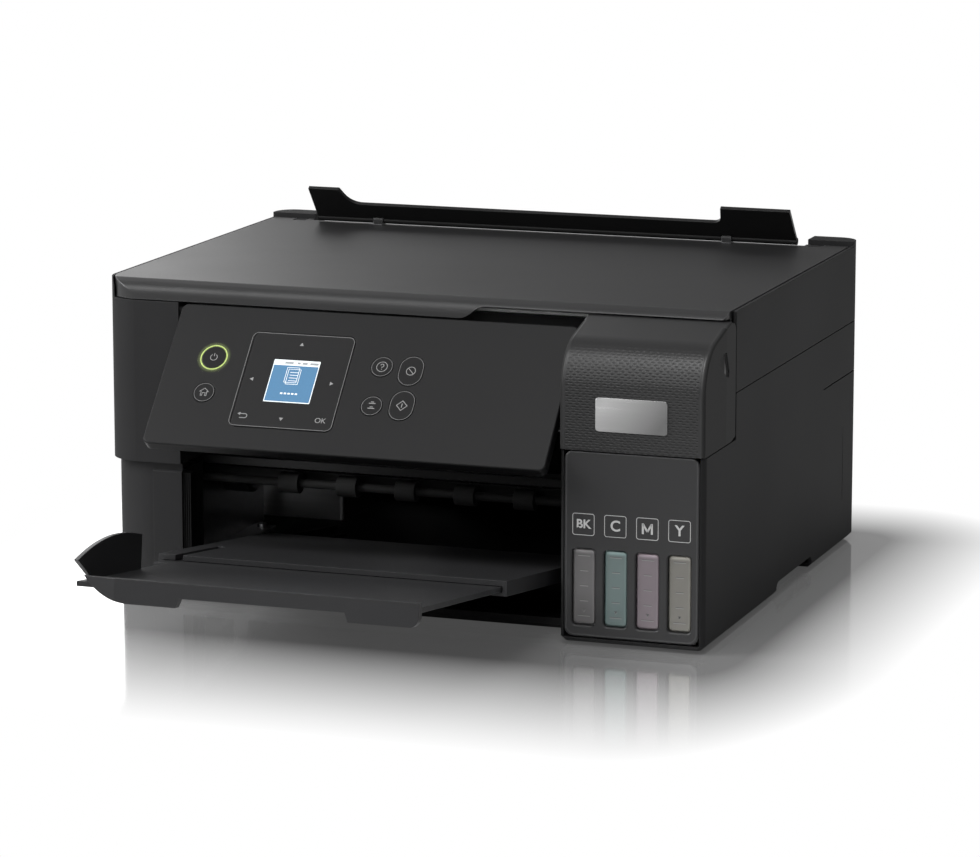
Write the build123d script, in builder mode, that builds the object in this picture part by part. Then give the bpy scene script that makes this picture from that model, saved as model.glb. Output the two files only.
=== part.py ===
# Inkjet printer with a flatbed scanner, refillable ink tanks, a rear sheet feeder and a tilting panel.
# Millimetres, +Z up, +Y to the back. The origin is on the table, under the middle of the whole object
# with its tray pulled out.

import os
from math import cos, radians, sin, tan

from build123d import *

os.makedirs("parts", exist_ok=True)

# Body
WIDTH = 375.0
BODY_D = 276.0
FRONT_Y = -24.0
SEAM_Z = 135.0
RIM_Z = 180.0
WALL = 2.5
FLOOR_T = 2.5
FOOT_H = 2.0
FOOT_R = 8.0
FOOT_INSET = 24.0
SEAM_GAP = 0.6
CORNER_R = 28.0
UNIT_R = 21.0
REAR_R = 12.0
EDGE_R = 1.2
FIT = 0.3
RUN_FIT = 0.05

TANK_W = 82.5
FEED_SIDE = 37.5

HALF_W = WIDTH / 2
BACK_Y = FRONT_Y + BODY_D
FLOOR_Z = FOOT_H + FLOOR_T
TANK_X0 = HALF_W - TANK_W
FEED_W = WIDTH - 2 * FEED_SIDE

# Output bay, between the left block and the tank bay
BLOCK_W = 48.5
BAY_X0 = -HALF_W + BLOCK_W
SILL_REACH = 20.0
SILL_H = 6.0
BLOCK_INSET = 3.0
SILL_Y = FRONT_Y - SILL_REACH

# Output tray, in two stages that slope up to the front
TRAY_SLOPE = 7.5
TRAY_Y = -24.0
TRAY_Z = 34.3
TRAY_LEFT_GAP = 35.0
TRAY_RIGHT_GAP = 7.0
TRAY_X0 = BAY_X0 + TRAY_LEFT_GAP
TRAY_X1 = TANK_X0 - TRAY_RIGHT_GAP
TRAY_TOP_T = 3.0
TRAY_SIDE_T = 2.5
TRAY_H = 8.3
TRAY_LIP_T = 2.0
TRAY_LIP_W = 6.0
TRAY_FRONT = -112.0
TRAY_BACK = 44.0
TRAY_TRAVEL = 110.0
RUNNER_W = 6.0

# Front-left corner housing of the scanner unit
HOUSING_Z = 75.0
HOUSING_D = 62.0

# Ink tank bay
TANK_REACH = 46.0
TANK_R = 5.0
TANK_FRONT_Y = FRONT_Y - TANK_REACH
COVER_Z = 109.0
COVER_BACK = 13.0
COVER_BACK_Y = FRONT_Y + COVER_BACK

# Ink tanks
TANK_N = 4
TANK_MARGIN = 4.85
TANK_SPACE = 1.6
TANK_PITCH = (TANK_W - 2 * TANK_MARGIN) / TANK_N
TANK_BODY_W = TANK_PITCH - TANK_SPACE
TANK_BODY_D = 46.0
TANK_TOP_Z = 88.0
TANK_WALL = 1.6
WINDOW_W = TANK_PITCH - 3 * TANK_SPACE
WINDOW_H = 43.0
WINDOW_Z = 11.4
WINDOW_R = 2.5
PANEL_T = 3.0
PANEL_SINK = 0.6
TANK_MID_X = (TANK_X0 + HALF_W) / 2
TANK_BACK_Y = TANK_FRONT_Y + PANEL_T + FIT + TANK_BODY_D
TANK_XS = [TANK_MID_X + (i - (TANK_N - 1) / 2) * TANK_PITCH for i in range(TANK_N)]
TUBE_R = 1.5
TUBE_Z = 14.0

# Rear sheet feeder
LEAN = 39.0
SHEET_W = 210.0
SHEET_Z = 67.0
SHEET_TOP_Y = 240.0
SHEET_TOP_Z = 190.0
REAR_BULGE = 19.0
REAR_TOP_Z = 172.0
REAR_FOOT_Z = 60.0
REAR_Y = BACK_Y + REAR_BULGE


def sheet_y(z):
    """Where the leaning sheet passes a height."""
    return SHEET_TOP_Y + (z - SHEET_TOP_Z) * tan(radians(LEAN))


# Chassis of the print engine, and the sockets at the back
SHEET_T = 1.5
FRAME_LEFT = 27.5
FRAME_RIGHT = 37.5
FRAME_X0 = -HALF_W + FRAME_LEFT
FRAME_X1 = HALF_W - FRAME_RIGHT
FLANGE_W = 14.0
SCREW_R = 1.5
SCREW_XS = (FRAME_X0 + FLANGE_W / 2, FRAME_X1 - FLANGE_W / 2)
SCREW_YS = (50.0, 130.0)
INLET_X = -HALF_W + 37.5
INLET_Z = 29.0
INLET_W = 26.0
INLET_H = 18.0
SOCKET_X = HALF_W - 41.5
SOCKET_Z = 30.0
SOCKET_W = 12.0
RUNNER_END_Y = 132.0


def tray_z(y):
    """Height of the tray's top surface at a depth."""
    return TRAY_Z - (y - TRAY_Y) * tan(radians(TRAY_SLOPE))


# Document lid
LID_TOP_Z = 180.4
LID_Z = 174.0
LID_BREAK = 9.0
LID_GAP = 0.9
LID_RIM = 2.0
LID_EDGE_Z = 176.4
LIP_Z = 169.4
LIP_X1 = 30.0
LIP_RISE = 16.0
LID_BACK_Y = BACK_Y - 18.6
LID_HINGE_Y = LID_BACK_Y - 2.4
LID_HINGE_Z = LID_Z + 3.2
LID_BACK_GAP = 3.3
DECK_Z = 170.6

# Scanner
GLASS_SIDE = 35.5
GLASS_W = WIDTH - 2 * GLASS_SIDE
GLASS_D = 212.0
GLASS_T = 3.0
GLASS_FRONT = 18.0
UNIT_AXIS_Y = BACK_Y - 11.0
UNIT_AXIS_Z = 150.0
PIN_R = 3.0

# Control panel, leaning out at its foot
TILT = 41.4
PANEL_X0 = BAY_X0 + 2.7
PANEL_X1 = TANK_X0 - 3.8
PANEL_L = 92.0
PANEL_SLAB = 7.0
PANEL_TOP_Y = -23.2
PANEL_TOP_Z = 168.2
PANEL_R = 4.0
PANEL_AXIS_IN = 5.0
PANEL_PIN_R = 2.5
BUTTON_T = 2.2
BUTTON_PROUD = 0.25
BUTTON_FIT = 0.25


def save(piece, name):
    """Label a finished piece and write it under its own name."""
    piece.part.label = name
    export_step(piece.part, f"parts/{name}.step")


def block(x0, x1, y0, y1, z0, z1, mode=Mode.ADD):
    """A block between two corners."""
    with Locations(((x0 + x1) / 2, (y0 + y1) / 2, (z0 + z1) / 2)):
        Box(x1 - x0, y1 - y0, z1 - z0, mode=mode)


def slab_yz(points, x0, x1, mode=Mode.ADD):
    """A side profile, drawn as (y, z) corners, carried across from x0 to x1."""
    with BuildSketch(Plane.YZ.offset(x0)) as profile:
        with BuildLine():
            Polyline(*points, close=True)
        make_face()
    extrude(profile.sketch, amount=x1 - x0, mode=mode)


def rod_x(y, z, radius, x0, x1, mode=Mode.ADD):
    """A round bar along X."""
    with BuildSketch(Plane.YZ.offset(x0)) as section:
        with Locations((y, z)):
            Circle(radius)
    extrude(section.sketch, amount=x1 - x0, mode=mode)


# Lower case: a moulded tub, open at the top, with the output bay and the tank bay at its front
BLOCK_Y = FRONT_Y + BLOCK_INSET
TANK_IN_X = TANK_X0 + WALL
BASE_CHAMFER = 2.4
PAD_W = 18.0
PAD_PROUD = 1.4
PAD_TOP_Z = 70.5
STRIP_W = 5.0
STRIP_D = 8.0
STRIP_RIBS = 4
GROOVE_W = 0.8
SHELF_LINE_Z = 104.0
SHELF_LINE_L = 80.0
SIDE_LINE_Y = 217.0
SIDE_LINE_Z0 = 29.0
SIDE_LINE_Z1 = 74.0
GRIP_Y = FRONT_Y + 137.0
GRIP_L = 76.0
GRIP_H = 14.0
GRIP_D = 9.0
GRIP_R = 5.0
VENT_X = -110.0
VENT_Z = 40.0
VENT_N = 8
VENT_PITCH = 7.0
VENT_L = 22.0
VENT_W = 3.0
with BuildPart() as lower_case:
    with BuildSketch(Plane.XY.offset(FOOT_H)) as plan:
        with BuildLine():
            Polyline(
                (-HALF_W, BACK_Y),
                (HALF_W, BACK_Y),
                (HALF_W, TANK_FRONT_Y),
                (TANK_X0, TANK_FRONT_Y),
                (TANK_X0, SILL_Y),
                (BAY_X0, SILL_Y),
                (BAY_X0, BLOCK_Y),
                (-HALF_W, BLOCK_Y),
                close=True,
            )
        make_face()
        fillet(plan.vertices().group_by(Axis.Y)[-1], REAR_R)
        fillet(plan.vertices().group_by(Axis.Y)[0], TANK_R)
        fillet(plan.vertices().sort_by_distance((-HALF_W, BLOCK_Y, 0))[0], CORNER_R)
    extrude(amount=SEAM_Z - SEAM_GAP - FOOT_H)
    chamfer(lower_case.faces().sort_by(Axis.Z)[0].outer_wire().edges(), BASE_CHAMFER)
    with BuildSketch(Plane.XY.offset(FLOOR_Z)):
        offset(plan.sketch, amount=-WALL)
    extrude(amount=SEAM_Z, mode=Mode.SUBTRACT)
    # the output bay is open at the front above its sill
    block(BAY_X0, TANK_X0, SILL_Y - 1, FRONT_Y + HOUSING_D, FOOT_H + SILL_H, SEAM_Z, Mode.SUBTRACT)
    # room for the corner housing of the scanner unit
    block(-HALF_W - 1, BAY_X0 + WALL, BLOCK_Y - 1, FRONT_Y + HOUSING_D + SEAM_GAP, HOUSING_Z - SEAM_GAP,
          SEAM_Z, Mode.SUBTRACT)
    # the tank cover closes the tank bay from here up
    block(TANK_X0 - 1, HALF_W + 1, TANK_FRONT_Y - 1, COVER_BACK_Y + SEAM_GAP, COVER_Z - SEAM_GAP, SEAM_Z,
          Mode.SUBTRACT)
    # the front of the tank bay takes the window panel
    block(TANK_X0 + WALL, HALF_W - WALL, TANK_FRONT_Y - 1, TANK_FRONT_Y + WALL + TANK_R, FLOOR_Z, COVER_Z,
          Mode.SUBTRACT)
    # inner walls of the output bay and of the tank bay
    block(BAY_X0 - WALL, BAY_X0, BLOCK_Y + WALL, FRONT_Y + 32, FLOOR_Z, HOUSING_Z - 4)
    block(TANK_X0, TANK_IN_X, SILL_Y, TANK_BACK_Y + WALL, FLOOR_Z, COVER_Z - SEAM_GAP)
    block(TANK_IN_X, HALF_W - WALL, TANK_BACK_Y + FIT, TANK_BACK_Y + FIT + WALL, FLOOR_Z, TANK_TOP_Z)
    # runners that the output tray slides along, each with a guide beside it
    for x, out in ((TRAY_X0, -1), (TRAY_X1, 1)):
        under = sorted((x - out * RUNNER_W, x + out * (FIT + WALL)))
        beside = sorted((x + out * FIT, x + out * (FIT + WALL)))
        for span, rise in ((under, -TRAY_H - FIT), (beside, -TRAY_H / 2)):
            slab_yz([(FRONT_Y, FLOOR_Z - 1), (FRONT_Y, tray_z(FRONT_Y) + rise),
                     (RUNNER_END_Y, tray_z(RUNNER_END_Y) + rise), (RUNNER_END_Y, FLOOR_Z - 1)], *span)
    # holes for the ink tubes at the foot of the wall behind the tanks
    for x in TANK_XS:
        with BuildSketch(Plane.XZ.offset(-TANK_BACK_Y + WALL)) as tube_hole:
            with Locations((x, TUBE_Z)):
                Circle(TUBE_R + FIT)
        extrude(tube_hole.sketch, amount=-4 * WALL, mode=Mode.SUBTRACT)
    # openings for the mains inlet and the data socket, and holes for the frame screws
    block(INLET_X - INLET_W / 2 - FIT, INLET_X + INLET_W / 2 + FIT, BACK_Y - 2 * WALL, BACK_Y + 1,
          INLET_Z - INLET_H / 2 - FIT, INLET_Z + INLET_H / 2 + FIT, Mode.SUBTRACT)
    block(SOCKET_X - SOCKET_W / 2 - FIT, SOCKET_X + SOCKET_W / 2 + FIT, BACK_Y - 2 * WALL, BACK_Y + 1,
          SOCKET_Z - SOCKET_W / 2 - FIT, SOCKET_Z + SOCKET_W / 2 + FIT, Mode.SUBTRACT)
    with BuildSketch(Plane.XY.offset(FLOOR_Z)):
        with Locations([(x, y) for x in SCREW_XS for y in SCREW_YS]):
            Circle(SCREW_R + FIT)
    extrude(amount=-FLOOR_T / 2, mode=Mode.SUBTRACT)
    # hand grips under both sides, each closed inside by a wall of its own
    for side in (-1, 1):
        with BuildSketch(Plane.YZ.offset(side * HALF_W)) as grip:
            with Locations((GRIP_Y, FOOT_H)):
                RectangleRounded(GRIP_L, GRIP_H, GRIP_R)
        extrude(grip.sketch, amount=-side * GRIP_D, mode=Mode.SUBTRACT)
        inner = sorted((side * (HALF_W - GRIP_D), side * (HALF_W - GRIP_D - WALL)))
        block(*inner, GRIP_Y - GRIP_L / 2 - WALL, GRIP_Y + GRIP_L / 2 + WALL, FOOT_H,
              FOOT_H + GRIP_H / 2 + WALL)
    # a raised pad left of the output bay, and a ribbed strip beside it
    block(BAY_X0 - PAD_W, BAY_X0, BLOCK_Y - PAD_PROUD, BLOCK_Y + 1, FLOOR_Z, PAD_TOP_Z)
    chamfer(
        lower_case.edges().filter_by(Axis.X).sort_by_distance((BAY_X0, BLOCK_Y - PAD_PROUD, PAD_TOP_Z))[0],
        PAD_PROUD / 2,
    )
    block(BAY_X0, BAY_X0 + STRIP_W, BLOCK_Y, BLOCK_Y + STRIP_D, FOOT_H + SILL_H - 1, PAD_TOP_Z - 1)
    for i in range(STRIP_RIBS):
        rib_x = BAY_X0 + STRIP_W * i / STRIP_RIBS
        block(rib_x, rib_x + GROOVE_W / 2, BLOCK_Y - 1, BLOCK_Y + GROOVE_W, FOOT_H + SILL_H, PAD_TOP_Z,
              Mode.SUBTRACT)
    # thin lines on the right side
    block(HALF_W - GROOVE_W, HALF_W + 1, BACK_Y - SHELF_LINE_L, BACK_Y + 1, SHELF_LINE_Z,
          SHELF_LINE_Z + GROOVE_W, Mode.SUBTRACT)
    block(HALF_W - GROOVE_W, HALF_W + 1, SIDE_LINE_Y, SIDE_LINE_Y + GROOVE_W, SIDE_LINE_Z0,
          SIDE_LINE_Z1, Mode.SUBTRACT)
    # the rear case closes this gap in the back wall
    block(-FEED_W / 2 - FIT, FEED_W / 2 + FIT, BACK_Y - 2 * REAR_R, BACK_Y + 1, REAR_FOOT_Z - FIT, SEAM_Z,
          Mode.SUBTRACT)
    # vent slots low on the back wall, behind the power supply
    with BuildSketch(Plane.XZ.offset(-BACK_Y)):
        with Locations((VENT_X, VENT_Z)):
            with GridLocations(VENT_PITCH, 0, VENT_N, 1):
                SlotOverall(VENT_L, VENT_W, rotation=90)
    extrude(amount=WALL * 2, both=True, mode=Mode.SUBTRACT)
save(lower_case, "lower_case")


# Rubber feet, one under each corner
FOOT_X = HALF_W - FOOT_INSET
with BuildPart() as rubber_feet:
    with BuildSketch():
        with Locations((-FOOT_X, FRONT_Y + FOOT_INSET), (FOOT_X, TANK_FRONT_Y + FOOT_INSET)):
            Circle(FOOT_R)
        with Locations((-FOOT_X, BACK_Y - FOOT_INSET), (FOOT_X, BACK_Y - FOOT_INSET)):
            Circle(FOOT_R)
    extrude(amount=FOOT_H)
    chamfer(rubber_feet.faces().filter_by(Axis.Z).group_by(Axis.Z)[0].edges(), FOOT_H / 4)
save(rubber_feet, "rubber_feet")

# Tank panel: the flat front of the tank bay, with one rounded window for each tank
WINDOW_MID_Z = WINDOW_Z + WINDOW_H / 2
with BuildPart() as tank_panel:
    with BuildSketch(Plane.XZ.offset(-TANK_FRONT_Y - PANEL_SINK)):
        with Locations((TANK_MID_X, (FLOOR_Z + COVER_Z) / 2)):
            RectangleRounded(TANK_W - 2 * WALL - 2 * FIT, COVER_Z - FLOOR_Z - 2 * SEAM_GAP, TANK_R)
    extrude(amount=-PANEL_T)
    with BuildSketch(Plane.XZ.offset(-TANK_FRONT_Y + PANEL_T)):
        with Locations([(x, WINDOW_MID_Z) for x in TANK_XS]):
            RectangleRounded(WINDOW_W, WINDOW_H, WINDOW_R)
    extrude(amount=-3 * PANEL_T, mode=Mode.SUBTRACT)
    chamfer(tank_panel.faces().sort_by(Axis.Y)[0].edges(), PANEL_T / 5)
save(tank_panel, "tank_panel")

# Ink tanks: blow-moulded bottles side by side, each with a round filling neck near its front
NECK_R = 5.0
NECK_H = 9.0
NECK_FROM_FRONT = 17.0
BORE_R = 2.6
TANK_Y0 = TANK_FRONT_Y + PANEL_SINK + PANEL_T + FIT
NECK_Y = TANK_Y0 + NECK_FROM_FRONT
NECK_TOP_Z = TANK_TOP_Z + NECK_H
for ink, x in zip(("black", "cyan", "magenta", "yellow"), TANK_XS):
    with BuildPart() as ink_tank:
        block(x - TANK_BODY_W / 2, x + TANK_BODY_W / 2, TANK_Y0, TANK_BACK_Y - 1, FLOOR_Z, TANK_TOP_Z)
        fillet(ink_tank.edges().filter_by(Axis.Z), WINDOW_R)
        offset(amount=-TANK_WALL, mode=Mode.SUBTRACT)
        with BuildSketch(Plane.XY.offset(TANK_TOP_Z)):
            with Locations((x, NECK_Y)):
                Circle(NECK_R)
        extrude(amount=NECK_H)
        with BuildSketch(Plane.XY.offset(NECK_TOP_Z)):
            with Locations((x, NECK_Y)):
                Circle(BORE_R)
        extrude(amount=-NECK_H - 2 * TANK_WALL, mode=Mode.SUBTRACT)
    save(ink_tank, f"ink_tank_{ink}")

# Tank caps: a stopper under a short lever that turns on a pin between two ears behind the neck
CAP_T = 3.0
CAP_ROOM = 0.3
CAP_W = 12.0
CAP_PIN_R = 1.6
CAP_PIN_BACK = 19.0
CAP_EAR_T = 1.4
CAP_LIP = 5.0
PLUG_D = 4.0
CAP_PIN_Y = NECK_Y + CAP_PIN_BACK
CAP_PIN_Z = NECK_TOP_Z + CAP_ROOM + CAP_T / 2
for ink, x in zip(("black", "cyan", "magenta", "yellow"), TANK_XS):
    with BuildPart() as tank_cap:
        with BuildSketch(Plane.XY.offset(NECK_TOP_Z + CAP_ROOM)):
            with Locations((x, (NECK_Y - NECK_R - CAP_LIP + CAP_PIN_Y) / 2)):
                RectangleRounded(CAP_W, CAP_PIN_Y - NECK_Y + NECK_R + CAP_LIP, CAP_T)
        extrude(amount=CAP_T)
        with BuildSketch(Plane.XY.offset(NECK_TOP_Z + CAP_ROOM)):
            with Locations((x, NECK_Y)):
                Circle(BORE_R - CAP_ROOM)
        extrude(amount=-PLUG_D, taper=8)
        rod_x(CAP_PIN_Y, CAP_PIN_Z, CAP_PIN_R + 1, x - CAP_W / 2, x + CAP_W / 2)
        rod_x(CAP_PIN_Y, CAP_PIN_Z, CAP_PIN_R, x - CAP_W / 2 - CAP_EAR_T, x + CAP_W / 2 + CAP_EAR_T)
    save(tank_cap, f"tank_cap_{ink}")

# Cap bracket: a comb of ears across the tops of the tanks that carries the four cap pins
EAR_H = 4.0
COMB_D = 10.0
COMB_T = 2.5
with BuildPart() as cap_bracket:
    block(TANK_XS[0] - TANK_PITCH / 2, TANK_XS[-1] + TANK_PITCH / 2, CAP_PIN_Y - COMB_D / 2,
          CAP_PIN_Y + COMB_D / 2, TANK_TOP_Z, TANK_TOP_Z + COMB_T)
    for x in TANK_XS:
        for side in (-1, 1):
            ear_x = x + side * (CAP_W / 2 + FIT)
            with BuildSketch(Plane.YZ.offset(ear_x)):
                with BuildLine():
                    Polyline((CAP_PIN_Y - EAR_H, TANK_TOP_Z + COMB_T), (CAP_PIN_Y - EAR_H, CAP_PIN_Z + EAR_H),
                             (CAP_PIN_Y + EAR_H, CAP_PIN_Z + EAR_H), (CAP_PIN_Y + EAR_H, TANK_TOP_Z + COMB_T),
                             close=True)
                make_face()
                with Locations((CAP_PIN_Y, CAP_PIN_Z)):
                    Circle(CAP_PIN_R + RUN_FIT, mode=Mode.SUBTRACT)
            extrude(amount=side * CAP_EAR_T)
save(cap_bracket, "cap_bracket")

# Tank cover: a hood whose top slants down and rolls over into the front, hinged behind its top edge
COVER_SLOPE = 14.4
COVER_TOP_Z = 175.6
COVER_ROLL_R = 28.0
COVER_T = 2.4
COVER_TOP_Y = FRONT_Y + 1.6
COVER_AXIS_IN = 5.0
COVER_AXIS_Y = COVER_TOP_Y - 4.0
COVER_AXIS_Z = COVER_TOP_Z - COVER_AXIS_IN - 4.0 * tan(radians(COVER_SLOPE))
COVER_X0 = TANK_X0 + FIT
COVER_X1 = HALF_W
COVER_PIN_R = 1.5
CHEEK_T = 2.4
CHEEK_BACK_Y = COVER_BACK_Y - 1.4
CHEEK_R = 6.0
CHEEK_CUT = 7.6
CHEEK_RISE = 1.9
HOLD_W = 5.0
HOLD_R = 2.6
HOLD_H = 3.0
RECESS_R = 2.5
COVER_FRONT_TOP_Z = COVER_TOP_Z - (COVER_TOP_Y - TANK_FRONT_Y) * tan(radians(COVER_SLOPE))


def cover_outline(inset, back_y):
    """Corners of the hood's side profile, drawn in from its skin and open downwards past its foot."""
    drop = inset / cos(radians(COVER_SLOPE))
    top_z = COVER_TOP_Z - drop
    corner_z = COVER_FRONT_TOP_Z - drop + inset * tan(radians(COVER_SLOPE))
    foot_z = COVER_Z - inset * 4
    front_y = TANK_FRONT_Y + inset
    return [(back_y, foot_z), (back_y, top_z), (COVER_TOP_Y, top_z), (front_y, corner_z), (front_y, foot_z)]


with BuildPart() as tank_cover:
    with BuildSketch(Plane.YZ.offset(COVER_X0)) as hood:
        with BuildLine():
            Polyline(*cover_outline(0, COVER_TOP_Y + COVER_T), close=True)
        make_face()
        fillet(hood.vertices().sort_by_distance((TANK_FRONT_Y, COVER_FRONT_TOP_Z, 0))[0], COVER_ROLL_R)
    extrude(amount=COVER_X1 - COVER_X0)
    # the right cheek runs on to the scanner unit, and its back corners are eased where they swing down
    with BuildSketch(Plane.YZ.offset(COVER_X1 - CHEEK_T)) as cheek:
        with BuildLine():
            Polyline((COVER_TOP_Y - 2, COVER_Z), (COVER_TOP_Y - 2, COVER_TOP_Z - 1),
                     (CHEEK_BACK_Y, COVER_TOP_Z - 1), (CHEEK_BACK_Y, COVER_Z + CHEEK_RISE),
                     (CHEEK_BACK_Y - CHEEK_CUT, COVER_Z), close=True)
        make_face()
        fillet(cheek.vertices().sort_by_distance((CHEEK_BACK_Y, COVER_TOP_Z, 0))[0], CHEEK_R)
    extrude(amount=CHEEK_T)
    fillet(tank_cover.edges().filter_by(Axis.Z).group_by(Axis.Y)[0], EDGE_R)
    with BuildSketch(Plane.YZ.offset(COVER_X0 + CHEEK_T)) as hollow:
        with BuildLine():
            Polyline(*cover_outline(COVER_T, COVER_TOP_Y + 2 * COVER_T), close=True)
        make_face()
        fillet(hollow.vertices().sort_by_distance((TANK_FRONT_Y, COVER_FRONT_TOP_Z, 0))[0],
               COVER_ROLL_R - COVER_T)
    extrude(amount=COVER_X1 - COVER_X0 - 2 * CHEEK_T, mode=Mode.SUBTRACT)
    # finger recess on the right cheek
    with BuildSketch(Plane.YZ.offset(COVER_X1)) as recess:
        with BuildLine():
            Polyline((FRONT_Y - 26.5, COVER_TOP_Z - 17), (FRONT_Y + 2.5, COVER_TOP_Z - 33),
                     (FRONT_Y - 6, COVER_TOP_Z - 15), close=True)
        make_face()
        fillet(recess.vertices(), RECESS_R)
    extrude(amount=-CHEEK_T / 2, mode=Mode.SUBTRACT)
    # hinge knuckles under the top edge, bored for the pin
    for x in (COVER_X0 + CHEEK_T, COVER_X1 - CHEEK_T - HOLD_W):
        block(x, x + HOLD_W, COVER_AXIS_Y - HOLD_R, COVER_AXIS_Y + HOLD_R, COVER_AXIS_Z - HOLD_R,
              COVER_AXIS_Z + HOLD_H)
        rod_x(COVER_AXIS_Y, COVER_AXIS_Z, COVER_PIN_R + RUN_FIT, x - 1, x + HOLD_W + 1, Mode.SUBTRACT)
save(tank_cover, "tank_cover")

# Cover hinge: a pin between two posts that stand on the wall behind the tanks
POST_T = 5.0
POST_HALF = 2.0
POST_BEND_Z = COVER_Z + 40.0
with BuildPart() as cover_hinge:
    rod_x(COVER_AXIS_Y, COVER_AXIS_Z, COVER_PIN_R, COVER_X0 + CHEEK_T, COVER_X1 - CHEEK_T)
    for x in (COVER_X0 + CHEEK_T + HOLD_W + FIT, COVER_X1 - CHEEK_T - HOLD_W - FIT - POST_T):
        rod_x(COVER_AXIS_Y, COVER_AXIS_Z, POST_HALF, x, x + POST_T)
        slab_yz([(COVER_AXIS_Y - POST_HALF, COVER_AXIS_Z), (COVER_AXIS_Y + POST_HALF, COVER_AXIS_Z),
                 (COVER_AXIS_Y + POST_HALF, POST_BEND_Z), (TANK_BACK_Y + FIT + WALL, COVER_Z),
                 (TANK_BACK_Y + FIT + WALL, TANK_TOP_Z), (TANK_BACK_Y + FIT, TANK_TOP_Z),
                 (TANK_BACK_Y + FIT - 2 * POST_HALF, COVER_Z), (COVER_AXIS_Y - POST_HALF, POST_BEND_Z)],
                x, x + POST_T)
save(cover_hinge, "cover_hinge")

# Rear case: the back cover and the hopper plate that the sheets lean on, in one moulding
HOPPER_T = 3.0
HOPPER_Z = 76.0
SLOT_W = 3.2
SLOT_D = 12.0
SLOT_IN = 20.0
GUIDE_Z = 84.0
SUPPORT_GAP = 1.6
SUPPORT_T = 2.6
SUPPORT_W = 196.0
SUPPORT_L = 104.0
SUPPORT_TOP_Z = 169.0
SUPPORT_R = 12.0
SUPPORT_RIBS = 4
SUPPORT_RIB_W = 3.0
SUPPORT_RIB_H = 0.8
PULL_W = 46.0
PULL_H = 14.0
HOPPER_GAP = (SUPPORT_GAP + SUPPORT_T + FIT) / cos(radians(LEAN))
SLANT_RUN = HOPPER_T / cos(radians(LEAN))
RAIL_W = 3.0
RAIL_Z = GUIDE_Z + 4.0
HALF_FEED = FEED_W / 2


def hopper_y(z):
    """Front face of the hopper plate at a height."""
    return sheet_y(z) + HOPPER_GAP


with BuildPart() as rear_case:
    with BuildSketch(Plane.YZ.offset(-HALF_FEED)) as back:
        with BuildLine():
            Polyline((hopper_y(HOPPER_Z), HOPPER_Z), (hopper_y(REAR_TOP_Z), REAR_TOP_Z),
                     (REAR_Y, REAR_TOP_Z), (REAR_Y, REAR_FOOT_Z), (BACK_Y - WALL, REAR_FOOT_Z),
                     (BACK_Y - WALL, HOPPER_Z), close=True)
        make_face()
        fillet(back.vertices().group_by(Axis.X)[-1], REAR_R)
    extrude(amount=FEED_W)
    with BuildSketch(Plane.YZ.offset(-HALF_FEED + WALL)) as inside:
        with BuildLine():
            Polyline((hopper_y(HOPPER_Z) + SLANT_RUN, HOPPER_Z - 1),
                     (hopper_y(REAR_TOP_Z - WALL) + SLANT_RUN, REAR_TOP_Z - WALL),
                     (REAR_Y - WALL, REAR_TOP_Z - WALL), (REAR_Y - WALL, REAR_FOOT_Z + WALL),
                     (BACK_Y - 2 * WALL, REAR_FOOT_Z + WALL), (BACK_Y - 2 * WALL, HOPPER_Z - 1),
                     close=True)
        make_face()
    extrude(amount=FEED_W - 2 * WALL, mode=Mode.SUBTRACT)
    # a level groove across the hopper for the edge guides
    block(-HALF_FEED + SLOT_IN, HALF_FEED - SLOT_IN, hopper_y(GUIDE_Z) - SLOT_W,
          hopper_y(GUIDE_Z) + SLOT_D, GUIDE_Z - SLOT_W / 2, GUIDE_Z + SLOT_W / 2, Mode.SUBTRACT)
    # rails at both edges of the paper support, above the groove
    for x0 in (-SUPPORT_W / 2 - FIT - RAIL_W, SUPPORT_W / 2 + FIT):
        slab_yz([(hopper_y(RAIL_Z) - SUPPORT_T, RAIL_Z), (hopper_y(REAR_TOP_Z) - SUPPORT_T, REAR_TOP_Z),
                 (hopper_y(REAR_TOP_Z) + 1, REAR_TOP_Z), (hopper_y(RAIL_Z) + 1, RAIL_Z)], x0, x0 + RAIL_W)
save(rear_case, "rear_case")

# Paper support: a plate that pulls up along the lean of the sheet, with a finger pull cut in its top edge
lean_plane = Plane(origin=(0, sheet_y(SUPPORT_TOP_Z) + SUPPORT_GAP / cos(radians(LEAN)), SUPPORT_TOP_Z),
                   x_dir=(1, 0, 0), z_dir=(0, -cos(radians(LEAN)), sin(radians(LEAN))))
with BuildPart() as paper_support:
    with BuildSketch(lean_plane) as plate:
        with Locations((0, -SUPPORT_L / 2)):
            Rectangle(SUPPORT_W, SUPPORT_L)
        fillet(plate.vertices().group_by(Axis.Y)[-1], SUPPORT_R)
        with Locations((0, 0)):
            SlotOverall(PULL_W, PULL_H, mode=Mode.SUBTRACT)
    extrude(amount=-SUPPORT_T)
    # shallow ribs up its front that the sheet slides on
    with BuildSketch(lean_plane):
        with Locations((0, -(SUPPORT_L + SUPPORT_R) / 2)):
            with GridLocations(SUPPORT_W / SUPPORT_RIBS, 0, SUPPORT_RIBS, 1):
                Rectangle(SUPPORT_RIB_W, SUPPORT_L - 2 * SUPPORT_R)
    extrude(amount=SUPPORT_RIB_H)
save(paper_support, "paper_support")

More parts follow.
